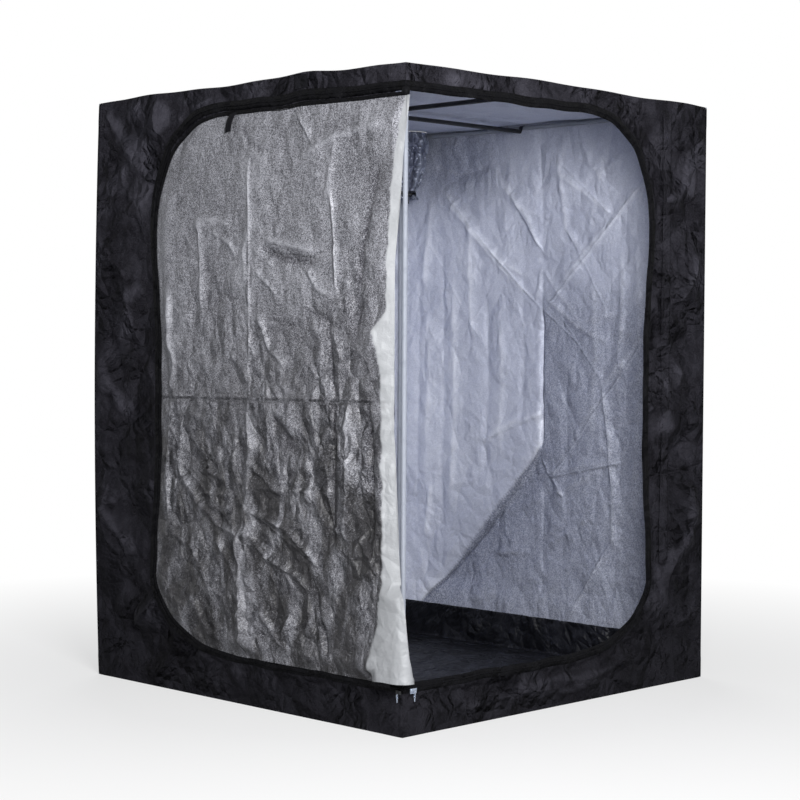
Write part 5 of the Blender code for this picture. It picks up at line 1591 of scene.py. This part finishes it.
def storm_place(u, v):
    z = STORM_LOW + v * STORM_LONG
    across = STORM_AT + STORM_WIDE * u + 0.003 * np.sin(z * 9) * (1 - u)
    lift = 0.0016 + (1 - u) * (0.0012 + 0.001 * np.sin(z * 7 + 1)) + 0.0008 * np.sin(z * 31) * (1 - u)
    return on_wall("right", across, z, lift), np.column_stack((across, z)), 0 * z


storm_strip = cloth("storm_strip", (8, 160), storm_place, (1, 0, 0), "storm_flap", [black_canvas],
                    thick=THIN, offset=1.0)

# %% Tie
TIE_WIDE, TIE_AT, TIE_TOP, TIE_DROP, TIE_THICK = 0.032, -0.018, 1.908, 0.06, 0.0016
TIE_TAPER, TIE_SLANT = 0.2, 0.22


def tie_place(u, v):
    z = TIE_TOP - TIE_DROP * v + 0.004 * (u - 0.5)
    x = TIE_AT + (u - 0.5) * TIE_WIDE * (1 - TIE_TAPER * v)
    x = x - TIE_SLANT * (TIE_TOP - z)
    out = 0.0128 + 0.006 * np.sin(pi * v) + 0.010 * v + 0.003 * np.sin(pi * u)
    return on_wall("front", x, z, out), np.column_stack((u * TIE_WIDE, v * TIE_DROP)), 0 * z


tie = cloth("tie", (6, 24), tie_place, (0, -1, 0), "tie_strap", [strap_weave], "door_flap",
            TIE_THICK)

# %% Patch on the top band
PATCH_AT, PATCH_Z, PATCH_WIDE, PATCH_TALL, PATCH_PROUD = 0.293, 1.973, 0.06, 0.04, 0.0012


def from_rim(u, v):
    """Share of a sheet's width from its nearest edge."""
    return np.minimum(0.5 - np.abs(u - 0.5), 0.5 - np.abs(v - 0.5))


def patch_place(u, v):
    x, z = PATCH_AT + (u - 0.5) * PATCH_WIDE, PATCH_Z + (v - 0.5) * PATCH_TALL
    out = PATCH_PROUD + PATCH_PROUD * smooth(from_rim(u, v) / 0.12)
    return on_wall("front", x, z, out), np.column_stack((x, z)), 0 * z


band_patch = cloth("band_patch", (24, 16), patch_place, (0, -1, 0), "top_band_patch", [strap_weave],
                   thick=THIN)

# %% Net of the intake vent
COVER_HALF, COVER_LOW, COVER_TALL = 0.17, 0.23, 0.24
NET_AT, NET_SAG, YARN = -0.7470, 0.0012, 0.0011


def net_place(u, v):
    y, z = COVER_HALF - 2 * COVER_HALF * u, COVER_LOW + COVER_TALL * v
    sag = NET_SAG * np.sin(pi * u) * np.sin(pi * v)
    return np.column_stack((NET_AT + sag, y, z)), np.column_stack((y, z)), 0 * z


bm = sheet_mesh((68, 48), net_place, (-1, 0, 0))
vent_net = piece("vent_net", bm, [net_yarn], "tent", ["intake_vent_net"])
mesh_of_yarn = vent_net.modifiers.new("yarn", "WIREFRAME")
mesh_of_yarn.thickness = YARN
mesh_of_yarn.use_boundary = True


# %% Cover of the intake vent
def cover_place(u, v):
    y, z = COVER_HALF - 2 * COVER_HALF * u, COVER_LOW + COVER_TALL * v
    rim = from_rim(u, v)
    out = 0.0014 + 0.004 * smooth(rim / 0.3) * (1 - v) + swell(y, z, 0.08, 0.002, 2.5) * smooth(rim / 0.1)
    return on_wall("left", y, z, np.maximum(out, 0.001)), np.column_stack((y, z)), 0 * z


vent_cover_cloth = cloth("vent_cover_cloth", (50, 36), cover_place, (-1, 0, 0), "intake_vent_cover",
                         [black_canvas], "vent_cover", thick=THIN)

# %% [markdown]
# ## Face count
#
# The last cell adds up the faces of every shown mesh, before modifiers.

# %% Face count, and the end
total = sum(len(o.data.polygons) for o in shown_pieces() if o.type == "MESH")
print("faces before modifiers:", total)
